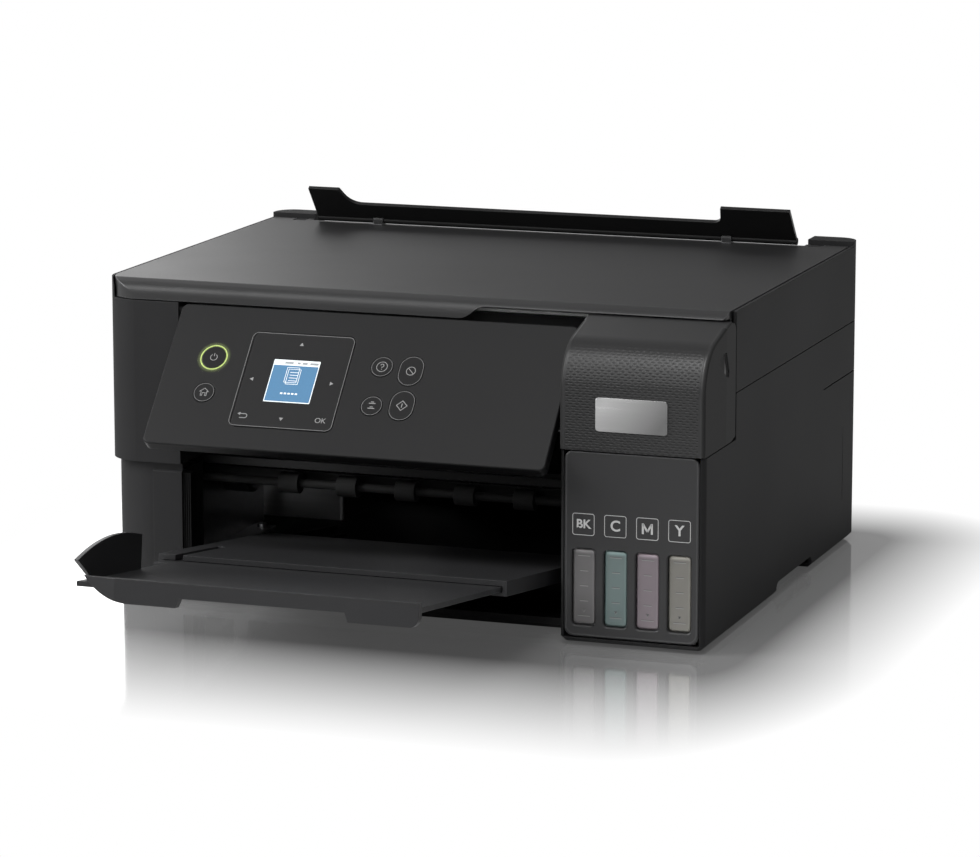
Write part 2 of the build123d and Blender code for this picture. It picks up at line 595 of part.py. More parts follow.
# Edge guides: fins at both edges of the sheet, with a tongue in the hopper's groove
GUIDE_T = 3.0
GUIDE_FIN = 9.0
GUIDE_TOP_Z = 158.0
GUIDE_FOOT_Z = GUIDE_Z - 6.0
GUIDE_BACK = 0.8
TONGUE = 9.0
TONGUE_HALF = 1.3
GUIDE_OUT = SHEET_W / 2 + 0.7
for name, side in (("left", -1), ("right", 1)):
    x0 = side * GUIDE_OUT
    x1 = side * (GUIDE_OUT + GUIDE_T)
    low, high = min(x0, x1), max(x0, x1)
    with BuildPart() as edge_guide:
        slab_yz([(sheet_y(GUIDE_FOOT_Z) - GUIDE_FIN, GUIDE_FOOT_Z),
                (sheet_y(GUIDE_FOOT_Z) + GUIDE_BACK, GUIDE_FOOT_Z),
                (sheet_y(GUIDE_TOP_Z) + GUIDE_BACK, GUIDE_TOP_Z),
                (sheet_y(GUIDE_TOP_Z) - GUIDE_FIN / 2, GUIDE_TOP_Z)], low, high)
        slab_yz([(sheet_y(GUIDE_Z - TONGUE_HALF), GUIDE_Z - TONGUE_HALF),
                (hopper_y(GUIDE_Z) + TONGUE, GUIDE_Z - TONGUE_HALF),
                (hopper_y(GUIDE_Z) + TONGUE, GUIDE_Z + TONGUE_HALF),
                (sheet_y(GUIDE_Z + TONGUE_HALF), GUIDE_Z + TONGUE_HALF)], low, high)
    save(edge_guide, f"edge_guide_{name}")

# Scanner frame: the upper case, with the glass bed, the corner housing at its front left and the rear corners
FRAME_FLOOR_Z = SEAM_Z + WALL
FRAME_BACK_GAP = 16.0
HUMP_Z = 183.0
HUMP_IN = HALF_FEED + 9.0
RIM_SLOPE_Z = LIP_Z - 0.4
PANEL_BAY_Y = FRONT_Y + 16.0
GLASS_Y0 = FRONT_Y + GLASS_FRONT
GLASS_MID_Y = GLASS_Y0 + GLASS_D / 2
LEDGE = 4.0
GROOVE_Y = FRONT_Y + LID_BREAK + 1.0


def frame_back(z):
    """Slanted back of the scanner frame in front of the leaning sheets."""
    return sheet_y(z) - FRAME_BACK_GAP


# the panel turns on two pins at its top corners
tilt_up = (0, sin(radians(TILT)), cos(radians(TILT)))
tilt_out = (0, -cos(radians(TILT)), sin(radians(TILT)))
PANEL_AXIS_DOWN = 1.0
PANEL_AXIS_Y = PANEL_TOP_Y - PANEL_AXIS_DOWN * tilt_up[1] - PANEL_AXIS_IN * tilt_out[1]
PANEL_AXIS_Z = PANEL_TOP_Z - PANEL_AXIS_DOWN * tilt_up[2] - PANEL_AXIS_IN * tilt_out[2]
EAR_T = 2.2
EAR_R = 4.4
EAR_X0 = PANEL_X1 + FIT
LID_EAR_X = HALF_W - 21.5
LID_EAR_W = 8.0
LID_EAR_R = 3.2
LID_PIN_R = 1.6
UNIT_PIN_L = 12.0
SWING_IN = 1.5
SWING_H = 5.5
with BuildPart() as scanner_frame:
    with BuildSketch(Plane.XY.offset(SEAM_Z)) as unit_plan:
        with BuildLine():
            Polyline((-HALF_W, FRONT_Y), (BAY_X0, FRONT_Y), (BAY_X0, PANEL_BAY_Y), (TANK_X0 - 1, PANEL_BAY_Y),
                     (TANK_X0 - 1, COVER_BACK_Y), (HALF_W, COVER_BACK_Y), (HALF_W, BACK_Y), (-HALF_W, BACK_Y),
                     close=True)
        make_face()
        fillet(unit_plan.vertices().group_by(Axis.Y)[-1], REAR_R)
        fillet(unit_plan.vertices().sort_by_distance((-HALF_W, FRONT_Y, 0))[0], UNIT_R)
    extrude(amount=HUMP_Z - SEAM_Z)
    # down to the deck everywhere but at the rim and the rear corners
    with BuildSketch(Plane.XY.offset(DECK_Z)) as deck:
        with BuildLine():
            Polyline((-HALF_W + LID_RIM, FRONT_Y + LID_RIM), (HALF_W - LID_RIM, FRONT_Y + LID_RIM),
                     (HALF_W - LID_RIM, LID_BACK_Y + LID_BACK_GAP),
                     (-HALF_W + LID_RIM, LID_BACK_Y + LID_BACK_GAP), close=True)
        make_face()
        fillet(deck.vertices().sort_by_distance((-HALF_W, FRONT_Y, 0))[0], UNIT_R - LID_RIM)
    extrude(amount=HUMP_Z, mode=Mode.SUBTRACT)
    slab_yz([(FRONT_Y - 1, RIM_SLOPE_Z), (FRONT_Y + LID_RIM, RIM_SLOPE_Z), (FRONT_Y + LID_BREAK, RIM_Z),
            (LID_BACK_Y + LID_BACK_GAP, RIM_Z), (LID_BACK_Y + LID_BACK_GAP, HUMP_Z + 1),
            (FRONT_Y - 1, HUMP_Z + 1)], -HALF_W - 1, HALF_W + 1, Mode.SUBTRACT)
    # the corner of the deck is lower, for the skirt of the lid
    with BuildSketch(Plane.XY.offset(LIP_Z - SEAM_GAP)) as groove:
        with BuildLine():
            Polyline((-HALF_W + LID_RIM, FRONT_Y - 1), (BAY_X0 + 1, FRONT_Y - 1), (BAY_X0 + 1, GROOVE_Y),
                     (-GLASS_W / 2 - LEDGE, GROOVE_Y), (-GLASS_W / 2 - LEDGE, FRONT_Y + UNIT_R + LEDGE),
                     (-HALF_W + LID_RIM, FRONT_Y + UNIT_R + LEDGE), close=True)
        make_face()
        fillet(groove.vertices().sort_by_distance((-HALF_W, FRONT_Y, 0))[0], UNIT_R - LID_RIM)
    extrude(amount=HUMP_Z, mode=Mode.SUBTRACT)
    # the corner housing hangs down beside the control panel, open below
    with BuildSketch(Plane.XY.offset(HOUSING_Z)) as corner:
        with BuildLine():
            Polyline((-HALF_W, FRONT_Y), (BAY_X0, FRONT_Y), (BAY_X0, FRONT_Y + HOUSING_D),
                     (-HALF_W, FRONT_Y + HOUSING_D), close=True)
        make_face()
        fillet(corner.vertices().sort_by_distance((-HALF_W, FRONT_Y, 0))[0], UNIT_R)
    extrude(amount=SEAM_Z - HOUSING_Z)
    with BuildSketch(Plane.XY.offset(HOUSING_Z)):
        offset(corner.sketch, amount=-WALL)
    extrude(amount=LIP_Z - SEAM_GAP - WALL - HOUSING_Z, mode=Mode.SUBTRACT)
    # the feed slot: nothing behind the slanted back between the rear corners
    slab_yz([(frame_back(SEAM_Z - 1), SEAM_Z - 1), (frame_back(HUMP_Z + 1), HUMP_Z + 1),
            (BACK_Y + 1, HUMP_Z + 1), (BACK_Y + 1, SEAM_Z - 1)], -HUMP_IN, HUMP_IN, Mode.SUBTRACT)
    # the lower rear edge is cut back, because it swings down as the unit lifts
    slab_yz([(UNIT_AXIS_Y + SWING_IN, SEAM_Z - 1), (BACK_Y + 1, SEAM_Z - 1), (BACK_Y + 1, SEAM_Z + SWING_H),
             (UNIT_AXIS_Y + SWING_IN, SEAM_Z)], -HALF_W - 1, HALF_W + 1, Mode.SUBTRACT)
    # hollow below the deck, closed by a floor
    HOLLOW_Y0 = PANEL_BAY_Y + WALL
    HOLLOW_Y1 = frame_back(FRAME_FLOOR_Z) - 2 * WALL
    HOLLOW_TOP_Z = DECK_Z - GLASS_T - 2
    block(-HALF_W + WALL, HALF_W - WALL, HOLLOW_Y0, HOLLOW_Y1, FRAME_FLOOR_Z, HOLLOW_TOP_Z, Mode.SUBTRACT)
    # the glass sits on a ledge, over the open window of the bed
    with Locations((0, GLASS_MID_Y, DECK_Z)):
        Box(GLASS_W + 2 * FIT, GLASS_D + 2 * FIT, 2 * GLASS_T, mode=Mode.SUBTRACT)
        Box(GLASS_W - 2 * LEDGE, GLASS_D - 2 * LEDGE, 4 * GLASS_T, mode=Mode.SUBTRACT)
    # ears for the lid's pins, and bores for the unit's own hinge pins
    for side in (-1, 1):
        ear0 = side * LID_EAR_X - LID_EAR_W / 2
        block(ear0, ear0 + LID_EAR_W, LID_HINGE_Y - LID_EAR_R, LID_HINGE_Y + LID_EAR_R, DECK_Z, LID_HINGE_Z)
        rod_x(LID_HINGE_Y, LID_HINGE_Z, LID_EAR_R, ear0, ear0 + LID_EAR_W)
        rod_x(LID_HINGE_Y, LID_HINGE_Z, LID_PIN_R + RUN_FIT, ear0 - 1, ear0 + LID_EAR_W + 1, Mode.SUBTRACT)
        bore0 = side * HUMP_IN
        rod_x(UNIT_AXIS_Y, UNIT_AXIS_Z, PIN_R + RUN_FIT, bore0, bore0 + side * UNIT_PIN_L, Mode.SUBTRACT)
    # ears for the control panel's pins
    slab_yz([(PANEL_AXIS_Y - EAR_R, PANEL_AXIS_Z - EAR_R), (PANEL_AXIS_Y - EAR_R, PANEL_AXIS_Z + EAR_R),
            (PANEL_BAY_Y, PANEL_AXIS_Z + EAR_R), (PANEL_BAY_Y, PANEL_AXIS_Z - 3 * EAR_R)], EAR_X0,
            EAR_X0 + EAR_T)
    rod_x(PANEL_AXIS_Y, PANEL_AXIS_Z, PANEL_PIN_R + RUN_FIT, EAR_X0 - 1, EAR_X0 + EAR_T + 1, Mode.SUBTRACT)
    rod_x(PANEL_AXIS_Y, PANEL_AXIS_Z, PANEL_PIN_R + RUN_FIT, BAY_X0 - WALL - 1, BAY_X0 + 1, Mode.SUBTRACT)
save(scanner_frame, "scanner_frame")

# Unit hinges: two brackets on the back wall, each with a pin for the scanner frame
BRACKET_T = 6.0
BRACKET_L = 30.0
BRACKET_R = 5.0
BRACKET_X = HUMP_IN - FIT
with BuildPart() as unit_hinges:
    for side in (-1, 1):
        x0 = side * (BRACKET_X - BRACKET_T)
        x1 = side * BRACKET_X
        slab_yz([(BACK_Y - WALL, SEAM_Z - BRACKET_L), (BACK_Y - WALL, UNIT_AXIS_Z + BRACKET_R),
                (UNIT_AXIS_Y - BRACKET_R, UNIT_AXIS_Z + BRACKET_R),
                (UNIT_AXIS_Y - BRACKET_R, UNIT_AXIS_Z - BRACKET_R)], min(x0, x1), max(x0, x1))
        rod_x(UNIT_AXIS_Y, UNIT_AXIS_Z, PIN_R, x1, x1 + side * (UNIT_PIN_L - 1))
save(unit_hinges, "unit_hinges")

# Scanner glass
with BuildPart() as scanner_glass:
    with Locations((0, GLASS_MID_Y, DECK_Z - GLASS_T / 2)):
        Box(GLASS_W, GLASS_D, GLASS_T)
save(scanner_glass, "scanner_glass")

# Scan guide rod and scan bar: the bar spans the bed from front to back and runs along the rod
ROD_R = 3.0
BAR_W = 24.0
BAR_FOOT_Z = FRAME_FLOOR_Z + 6.0
BAR_TOP_Z = HOLLOW_TOP_Z - 1.0
SCAN_REST_X = -HALF_W + 36.0
SCAN_Y0 = HOLLOW_Y0 + 4.0
SCAN_Y1 = HOLLOW_Y1 - 4.0
SCAN_ROD_Y = (SCAN_Y0 + SCAN_Y1) / 2
SCAN_ROD_Z = FRAME_FLOOR_Z + 10.0
with BuildPart() as scan_guide_rod:
    rod_x(SCAN_ROD_Y, SCAN_ROD_Z, ROD_R, -HALF_W + WALL, HALF_W - WALL)
save(scan_guide_rod, "scan_guide_rod")
with BuildPart() as scan_bar:
    block(SCAN_REST_X - BAR_W / 2, SCAN_REST_X + BAR_W / 2, SCAN_Y0, SCAN_Y1, BAR_FOOT_Z, BAR_TOP_Z)
    block(SCAN_REST_X - BAR_W / 4, SCAN_REST_X + BAR_W / 4, SCAN_Y0 + 6, SCAN_Y1 - 6, BAR_TOP_Z - 2,
          BAR_TOP_Z + 1, Mode.SUBTRACT)
    fillet(scan_bar.edges().filter_by(Axis.Y).group_by(Axis.Z)[0], 3)
    rod_x(SCAN_ROD_Y, SCAN_ROD_Z, ROD_R + RUN_FIT, SCAN_REST_X - BAR_W, SCAN_REST_X + BAR_W, Mode.SUBTRACT)
save(scan_bar, "scan_bar")

# Document lid: a shallow cover with a sloping front band and a lip that is deep at the left
LID_FRONT_Y = FRONT_Y + 0.5
LID_ROLL_Z = 172.0
LID_BREAK_Y = FRONT_Y + LID_BREAK
LID_BREAK_TURN = 22.0
LID_HALF = HALF_W - LID_RIM - LID_GAP
LID_CORNER = UNIT_R - LID_RIM - LID_GAP
SKIRT_T = 3.0
LID_CLEAR = 5.0
GUARD_Y = LID_BACK_Y - 8.0
GUARD_LIFT = 2.8
GUARD_Z = LID_TOP_Z + GUARD_LIFT
KNUCKLE_W = 6.0
KNUCKLE_X = 112.0
GUARD_PIN_R = 1.5


def lid_back(z):
    """Slanted rear edge of the lid, in front of the leaning sheets."""
    return LID_BACK_Y - LID_CLEAR + (z - LID_TOP_Z) * tan(radians(LEAN))


with BuildPart() as document_lid:
    with BuildSketch(Plane.XY.offset(LIP_Z)) as lid_plan:
        with BuildLine():
            Polyline((-LID_HALF, LID_FRONT_Y), (LID_HALF, LID_FRONT_Y), (LID_HALF, LID_BACK_Y),
                     (-LID_HALF, LID_BACK_Y), close=True)
        make_face()
        fillet(lid_plan.vertices().sort_by_distance((-HALF_W, FRONT_Y, 0))[0], LID_CORNER)
        fillet(lid_plan.vertices().sort_by_distance((HALF_W, FRONT_Y, 0))[0], 2 * SKIRT_T)
    extrude(amount=LID_TOP_Z - LIP_Z)
    with BuildSketch(Plane.XY.offset(LIP_Z)):
        offset(lid_plan.sketch, amount=-SKIRT_T)
    extrude(amount=LID_Z - LIP_Z, mode=Mode.SUBTRACT)
    block(-HALF_W, HALF_W, FRONT_Y + LID_BREAK, BACK_Y, LIP_Z - 1, LID_Z, Mode.SUBTRACT)
    # the front rolls over from the upright lip to a break line in the top
    with BuildSketch(Plane.YZ.offset(-HALF_W)) as roll:
        with BuildLine():
            Spline((LID_FRONT_Y, LID_ROLL_Z), (LID_BREAK_Y, LID_TOP_Z),
                   tangents=((0, 1), (cos(radians(LID_BREAK_TURN)), sin(radians(LID_BREAK_TURN)))))
            Polyline((LID_BREAK_Y, LID_TOP_Z), (LID_BREAK_Y, LID_TOP_Z + 1), (LID_FRONT_Y - 1, LID_TOP_Z + 1),
                     (LID_FRONT_Y - 1, LID_ROLL_Z), (LID_FRONT_Y, LID_ROLL_Z))
        make_face()
    extrude(amount=WIDTH, mode=Mode.SUBTRACT)
    # the lip sweeps up to the thin right edge, which leaves a finger gap over the panel
    with BuildSketch(Plane.XZ.offset(-FRONT_Y + 1)):
        with BuildLine():
            Spline((LIP_X1, LIP_Z), (LIP_X1 + LIP_RISE, LID_EDGE_Z), tangents=((1, 0), (1, 0)))
            Line((LIP_X1 + LIP_RISE, LID_EDGE_Z), (HALF_W, LID_EDGE_Z))
            Line((HALF_W, LID_EDGE_Z), (HALF_W, LIP_Z - 1))
            Line((HALF_W, LIP_Z - 1), (LIP_X1, LIP_Z - 1))
            Line((LIP_X1, LIP_Z - 1), (LIP_X1, LIP_Z))
        make_face()
    extrude(amount=-LID_BREAK - 3, mode=Mode.SUBTRACT)
    # the rear edge slants away from the leaning sheets
    slab_yz([(lid_back(LID_Z - 1), LID_Z - 1), (lid_back(LID_TOP_Z + 1), LID_TOP_Z + 1),
             (LID_BACK_Y + 1, LID_TOP_Z + 1), (LID_BACK_Y + 1, LID_Z - 1)], -HUMP_IN, HUMP_IN, Mode.SUBTRACT)
    # notches for the frame's ears, crossed by the hinge pins
    for side in (-1, 1):
        notch0 = side * LID_EAR_X - LID_EAR_W / 2 - FIT
        notch1 = side * LID_EAR_X + LID_EAR_W / 2 + FIT
        block(notch0, notch1, LID_HINGE_Y - 1.6 * LID_EAR_R, LID_BACK_Y + 1, LID_Z - 1,
              LID_HINGE_Z + LID_EAR_R + FIT, Mode.SUBTRACT)
        rod_x(LID_HINGE_Y, LID_HINGE_Z, LID_PIN_R, notch0 - 1, notch1 + 1)
    # knuckles for the feeder guard
    for x in (-KNUCKLE_X, KNUCKLE_X):
        block(x - KNUCKLE_W / 2, x + KNUCKLE_W / 2, GUARD_Y - GUARD_LIFT, GUARD_Y + GUARD_LIFT,
              LID_TOP_Z - 1, GUARD_Z)
        rod_x(GUARD_Y, GUARD_Z, GUARD_LIFT, x - KNUCKLE_W / 2, x + KNUCKLE_W / 2)
        rod_x(GUARD_Y, GUARD_Z, GUARD_PIN_R + RUN_FIT, x - KNUCKLE_W, x + KNUCKLE_W, Mode.SUBTRACT)
save(document_lid, "document_lid")

# Document pad: the white backing under the lid
PAD_GAP = 0.4
with BuildPart() as document_pad:
    with BuildSketch(Plane.XY.offset(DECK_Z + PAD_GAP)):
        with Locations((0, GLASS_MID_Y)):
            RectangleRounded(GLASS_W - 2, GLASS_D - 2, 6)
    extrude(amount=LID_Z - DECK_Z - PAD_GAP)
save(document_pad, "document_pad")

# Feeder guard: a plate on a rod along the back of the lid, low in the middle, with an ear at each end
GUARD_LEAN = 40.0
GUARD_X0 = -HALF_W + 35.5
GUARD_X1 = HALF_W - 32.0
GUARD_T = 2.2
GUARD_RIM = 14.4
GUARD_EAR = 27.0
EAR_LEFT = 20.0
EAR_RIGHT = 43.0
GUARD_ROD_R = 2.2
guard_plane = Plane(origin=(0, GUARD_Y, GUARD_Z), x_dir=(1, 0, 0),
                    z_dir=(0, -cos(radians(GUARD_LEAN)), -sin(radians(GUARD_LEAN))))
with BuildPart() as feeder_guard:
    with BuildSketch(guard_plane.offset(-GUARD_T / 2)) as plate:
        with BuildLine():
            Polyline((GUARD_X0, 0), (GUARD_X0, GUARD_EAR), (GUARD_X0 + EAR_LEFT, GUARD_EAR),
                     (GUARD_X0 + EAR_LEFT + 5, GUARD_RIM), (GUARD_X1 - EAR_RIGHT - 2, GUARD_RIM),
                     (GUARD_X1 - EAR_RIGHT, GUARD_EAR), (GUARD_X1, GUARD_EAR), (GUARD_X1, 0), close=True)
        make_face()
        fillet(plate.vertices().sort_by_distance((GUARD_X0 + EAR_LEFT + 5, GUARD_RIM, 0))[0], 11)
        fillet(plate.vertices().sort_by_distance((GUARD_X1 - EAR_RIGHT - 2, GUARD_RIM, 0))[0], 5)
    extrude(amount=GUARD_T)
    rod_x(GUARD_Y, GUARD_Z, GUARD_ROD_R, GUARD_X0, GUARD_X1)
    for x in (-KNUCKLE_X, KNUCKLE_X):
        rod_x(GUARD_Y, GUARD_Z, GUARD_LIFT + 1.2, x - KNUCKLE_W / 2 - FIT, x + KNUCKLE_W / 2 + FIT,
              Mode.SUBTRACT)
        rod_x(GUARD_Y, GUARD_Z, GUARD_PIN_R, x - KNUCKLE_W / 2 - 1, x + KNUCKLE_W / 2 + 1)
save(feeder_guard, "feeder_guard")

# Control panel: a slab on two pins, with a pocket for the display and one for each button
PANEL_RISE = 0.5
PANEL_SKIN = 4.4
DISPLAY_X0 = PANEL_X0 + 49.3
DISPLAY_X1 = DISPLAY_X0 + 60.5
DISPLAY_TOP = 15.5
DISPLAY_FOOT = 77.3
DISPLAY_T = 1.6
DISPLAY_PROUD = 0.2
BUTTON_ROOM = 3.2
BUTTONS = {
    "power_button": (PANEL_X0 + 28.3, 34.1, 14.0, 14.0),
    "home_button": (PANEL_X0 + 28.5, 57.2, 12.4, 12.4),
    "help_button": (PANEL_X0 + 129.3, 33.4, 12.8, 12.8),
    "stop_button": (PANEL_X0 + 146.8, 35.0, 14.4, 19.0),
    "menu_button": (PANEL_X0 + 129.4, 58.8, 12.4, 12.4),
    "start_button": (PANEL_X0 + 146.9, 57.4, 14.4, 19.0),
}
panel_plane = Plane(origin=(0, PANEL_TOP_Y, PANEL_TOP_Z), x_dir=(1, 0, 0), z_dir=tilt_out)


def button_shape(width, length, grow):
    """A round or a stadium button's outline, grown all round."""
    if length > width:
        SlotOverall(length + 2 * grow, width + 2 * grow, rotation=90)
    else:
        Circle(width / 2 + grow)


with BuildPart() as control_panel:
    with BuildSketch(panel_plane):
        with Locations(((PANEL_X0 + PANEL_X1) / 2, (PANEL_RISE - PANEL_L) / 2)):
            RectangleRounded(PANEL_X1 - PANEL_X0, PANEL_L + PANEL_RISE, PANEL_R)
    extrude(amount=-PANEL_SLAB)
    chamfer(control_panel.faces().sort_by(Axis.Y)[0].edges(), EDGE_R / 2)
    # hollow behind, inside a rim
    with BuildSketch(panel_plane.offset(-PANEL_SKIN)):
        with Locations(((PANEL_X0 + PANEL_X1) / 2, -PANEL_L / 2 - 3)):
            RectangleRounded(PANEL_X1 - PANEL_X0 - 2 * WALL, PANEL_L - 6 - 2 * WALL, PANEL_R)
    extrude(amount=-PANEL_SLAB, mode=Mode.SUBTRACT)
    with BuildSketch(panel_plane.offset(DISPLAY_PROUD - DISPLAY_T)):
        with Locations(((DISPLAY_X0 + DISPLAY_X1) / 2, -(DISPLAY_TOP + DISPLAY_FOOT) / 2)):
            RectangleRounded(DISPLAY_X1 - DISPLAY_X0 + 2 * FIT, DISPLAY_FOOT - DISPLAY_TOP + 2 * FIT,
                             PANEL_R + FIT)
    extrude(amount=PANEL_SLAB, mode=Mode.SUBTRACT)
    for x, down, width, length in BUTTONS.values():
        with BuildSketch(panel_plane.offset(-BUTTON_ROOM)) as pocket:
            with Locations((x, -down)):
                button_shape(width, length, BUTTON_FIT)
        extrude(pocket.sketch, amount=PANEL_SLAB, mode=Mode.SUBTRACT)
    rod_x(PANEL_AXIS_Y, PANEL_AXIS_Z, PANEL_PIN_R, BAY_X0 - WALL, PANEL_X0 + PANEL_R)
    rod_x(PANEL_AXIS_Y, PANEL_AXIS_Z, PANEL_PIN_R, PANEL_X1 - PANEL_R, EAR_X0 + EAR_T)
save(control_panel, "control_panel")

# Panel display: the glossy square with the screen and the touch keys
with BuildPart() as panel_display:
    with BuildSketch(panel_plane.offset(DISPLAY_PROUD)):
        with Locations(((DISPLAY_X0 + DISPLAY_X1) / 2, -(DISPLAY_TOP + DISPLAY_FOOT) / 2)):
            RectangleRounded(DISPLAY_X1 - DISPLAY_X0, DISPLAY_FOOT - DISPLAY_TOP, PANEL_R)
    extrude(amount=-DISPLAY_T)
save(panel_display, "panel_display")

for name, (x, down, width, length) in BUTTONS.items():
    with BuildPart() as button:
        with BuildSketch(panel_plane.offset(BUTTON_PROUD - BUTTON_T)) as cap:
            with Locations((x, -down)):
                button_shape(width, length, 0)
        extrude(cap.sketch, amount=BUTTON_T)
        chamfer(button.faces().sort_by(Axis.Y)[0].edges(), BUTTON_PROUD)
    save(button, name)

# Output tray: an inverted channel that slides on the runners, with a slot for the side wing of the extension
WING_X = TRAY_X0 + 11.0
WING_T = 2.5
WING_TIP = -247.0
WING_TIP_Z = 8.0
WING_CROWN = -191.0
WING_CROWN_Z = 18.0
WING_BACK = -166.0
WING_BACK_Z = 15.5
WING_FOOT = -226.0
SLOT_SIDE = 1.0
SLOT_END = WING_BACK + TRAY_TRAVEL + 4.0
tray_plane = Plane(origin=(0, TRAY_Y, TRAY_Z), x_dir=(1, 0, 0),
                   z_dir=(0, sin(radians(TRAY_SLOPE)), cos(radians(TRAY_SLOPE))))


def tray_block(x0, x1, y0, y1, z0, z1, mode=Mode.ADD):
    """A block between two corners in the tray's own sloping frame."""
    with BuildSketch(tray_plane.offset(z0)) as base:
        with Locations(((x0 + x1) / 2, (y0 + y1) / 2)):
            Rectangle(x1 - x0, y1 - y0)
    extrude(base.sketch, amount=z1 - z0, mode=mode)


with BuildPart() as output_tray:
    tray_block(TRAY_X0, TRAY_X1, TRAY_FRONT, TRAY_BACK, -TRAY_H, 0)
    tray_block(TRAY_X0 + TRAY_SIDE_T, TRAY_X1 - TRAY_SIDE_T, TRAY_FRONT - 1, TRAY_BACK + 1,
               -TRAY_H + TRAY_LIP_T, -TRAY_TOP_T, Mode.SUBTRACT)
    tray_block(TRAY_X0 + TRAY_SIDE_T + TRAY_LIP_W, TRAY_X1 - TRAY_SIDE_T - TRAY_LIP_W, TRAY_FRONT - 1,
               TRAY_BACK + 1, -TRAY_H - 1, -TRAY_TOP_T, Mode.SUBTRACT)
    tray_block(WING_X - SLOT_SIDE, WING_X + WING_T + SLOT_SIDE, TRAY_FRONT - 1, SLOT_END, -TRAY_TOP_T - 1, 1,
               Mode.SUBTRACT)
save(output_tray, "output_tray")

# Tray extension: a plate in the channel, with a bow-shaped lip, a finger notch and an arched side wing
EXT_T = 2.7
EXT_FRONT = -247.5
EXT_BACK = -97.0
EXT_SHOE = 28.0
EXT_TOP = -TRAY_TOP_T - FIT
EXT_X0 = TRAY_X0 + TRAY_SIDE_T + FIT
EXT_X1 = TRAY_X1 - TRAY_SIDE_T - FIT
BOW_T = 5.0
BOW_TOP = 0.2
BOW_FOOT = -12.6
BOW_X0 = TRAY_X0 + 15.5
BOW_X1 = TRAY_X1
BOW_END_R = 5.0
BOW_RUN_X = TRAY_X0 + 42.0
BOW_SAG = 3.2
BOW_CUT_X = TRAY_X0 + 34.4
BOW_CUT_D = 4.0
NOTCH_X0 = TRAY_X0 + 71.0
NOTCH_X1 = TRAY_X1 - 40.0
NOTCH_H = 5.0
NOTCH_SLANT = 2.0
lip_plane = Plane(origin=tray_plane.from_local_coords((0, EXT_FRONT, 0)), x_dir=(1, 0, 0),
                  z_dir=(0, -cos(radians(TRAY_SLOPE)), sin(radians(TRAY_SLOPE))))
wing_plane = Plane(origin=tray_plane.from_local_coords((WING_X, 0, 0)), x_dir=tray_plane.y_dir,
                   z_dir=(1, 0, 0))
with BuildPart() as tray_extension:
    tray_block(WING_X, EXT_X1, EXT_FRONT + BOW_T, EXT_BACK, EXT_TOP - EXT_T, EXT_TOP)
    tray_block(EXT_X0, WING_X, EXT_BACK - EXT_SHOE, EXT_BACK, EXT_TOP - EXT_T, EXT_TOP)
    with BuildSketch(lip_plane) as lip:
        with BuildLine():
            SagittaArc((BOW_X0, BOW_TOP), (BOW_RUN_X, BOW_FOOT), -BOW_SAG)
            Polyline((BOW_RUN_X, BOW_FOOT), (NOTCH_X0 - NOTCH_SLANT, BOW_FOOT),
                     (NOTCH_X0, BOW_FOOT + NOTCH_H), (NOTCH_X1, BOW_FOOT + NOTCH_H),
                     (NOTCH_X1 + NOTCH_SLANT, BOW_FOOT), (BOW_X1, BOW_FOOT), (BOW_X1, BOW_TOP),
                     (BOW_X0, BOW_TOP))
        make_face()
        fillet(lip.vertices().sort_by_distance((BOW_X1, BOW_FOOT, 0))[0], BOW_END_R)
    extrude(amount=-BOW_T)
    # the bow turns back from the front face
    with BuildSketch(tray_plane.offset(BOW_FOOT - 1)) as bow_cut:
        with BuildLine():
            Polyline((BOW_CUT_X, EXT_FRONT), (BOW_X0 - 1, EXT_FRONT + BOW_CUT_D), (BOW_X0 - 1, EXT_FRONT - 1),
                     (BOW_CUT_X, EXT_FRONT - 1), close=True)
        make_face()
    extrude(bow_cut.sketch, amount=BOW_TOP - BOW_FOOT + 2, mode=Mode.SUBTRACT)
    with BuildSketch(wing_plane) as wing:
        with BuildLine():
            Spline((WING_TIP, WING_TIP_Z), (WING_CROWN, WING_CROWN_Z), (WING_BACK, WING_BACK_Z))
            Line((WING_BACK, WING_BACK_Z), (WING_BACK, EXT_TOP - 1))
            Line((WING_BACK, EXT_TOP - 1), (WING_FOOT, EXT_TOP - 1))
            Line((WING_FOOT, EXT_TOP - 1), (WING_TIP, WING_TIP_Z))
        make_face()
    extrude(wing.sketch, amount=WING_T)
save(tray_extension, "tray_extension")

# Main frame: the bent steel chassis of the print engine, with two side plates, a back plate and screw flanges
ENGINE_Y0 = 10.0
ENGINE_Y1 = 150.0
ENGINE_TOP_Z = 126.0
ENGINE_LOW_Z = 73.0
ENGINE_STEP_Y = 42.0
BACK_PLATE_Y = 116.0
BACK_PLATE_Z = 80.0
ROD_Y = 94.0
ROD_Z = 100.0
GUIDE_ROD_R = 4.0
FEED_Y = 85.0
FEED_Z = 61.0
FEED_SHAFT_R = 3.0
EXIT_Y = 23.0
EXIT_Z = 58.6
EXIT_SHAFT_R = 2.5
PICKUP_Y = 139.6
PICKUP_Z = 89.1
BELT_Z = 90.0
BELT_Y0 = 108.0
BELT_W = 6.0
DRIVE_X = FRAME_X0 + 17.0
IDLE_X = FRAME_X1 - 12.0
IDLE_PIN_R = 2.0
MOTOR_SHAFT_R = 1.5
GEAR_R = 12.0
GEAR_W = 5.0
GEAR_GAP = 0.4
GEAR_X1 = FRAME_X0 - SHEET_T - 2.5
GEAR_X0 = GEAR_X1 - GEAR_W
IDLER_Y = (FEED_Y + EXIT_Y) / 2
IDLER_Z = (FEED_Z + EXIT_Z) / 2
IDLER_R = (FEED_Y - EXIT_Y) / 2 - GEAR_R - GEAR_GAP
IDLER_PIN_R = 2.5
PINION_R = 5.0
PINION_STEP = (GEAR_R + PINION_R + GEAR_GAP) * sin(radians(45))
PINION_Y = FEED_Y + PINION_STEP
PINION_Z = FEED_Z - PINION_STEP
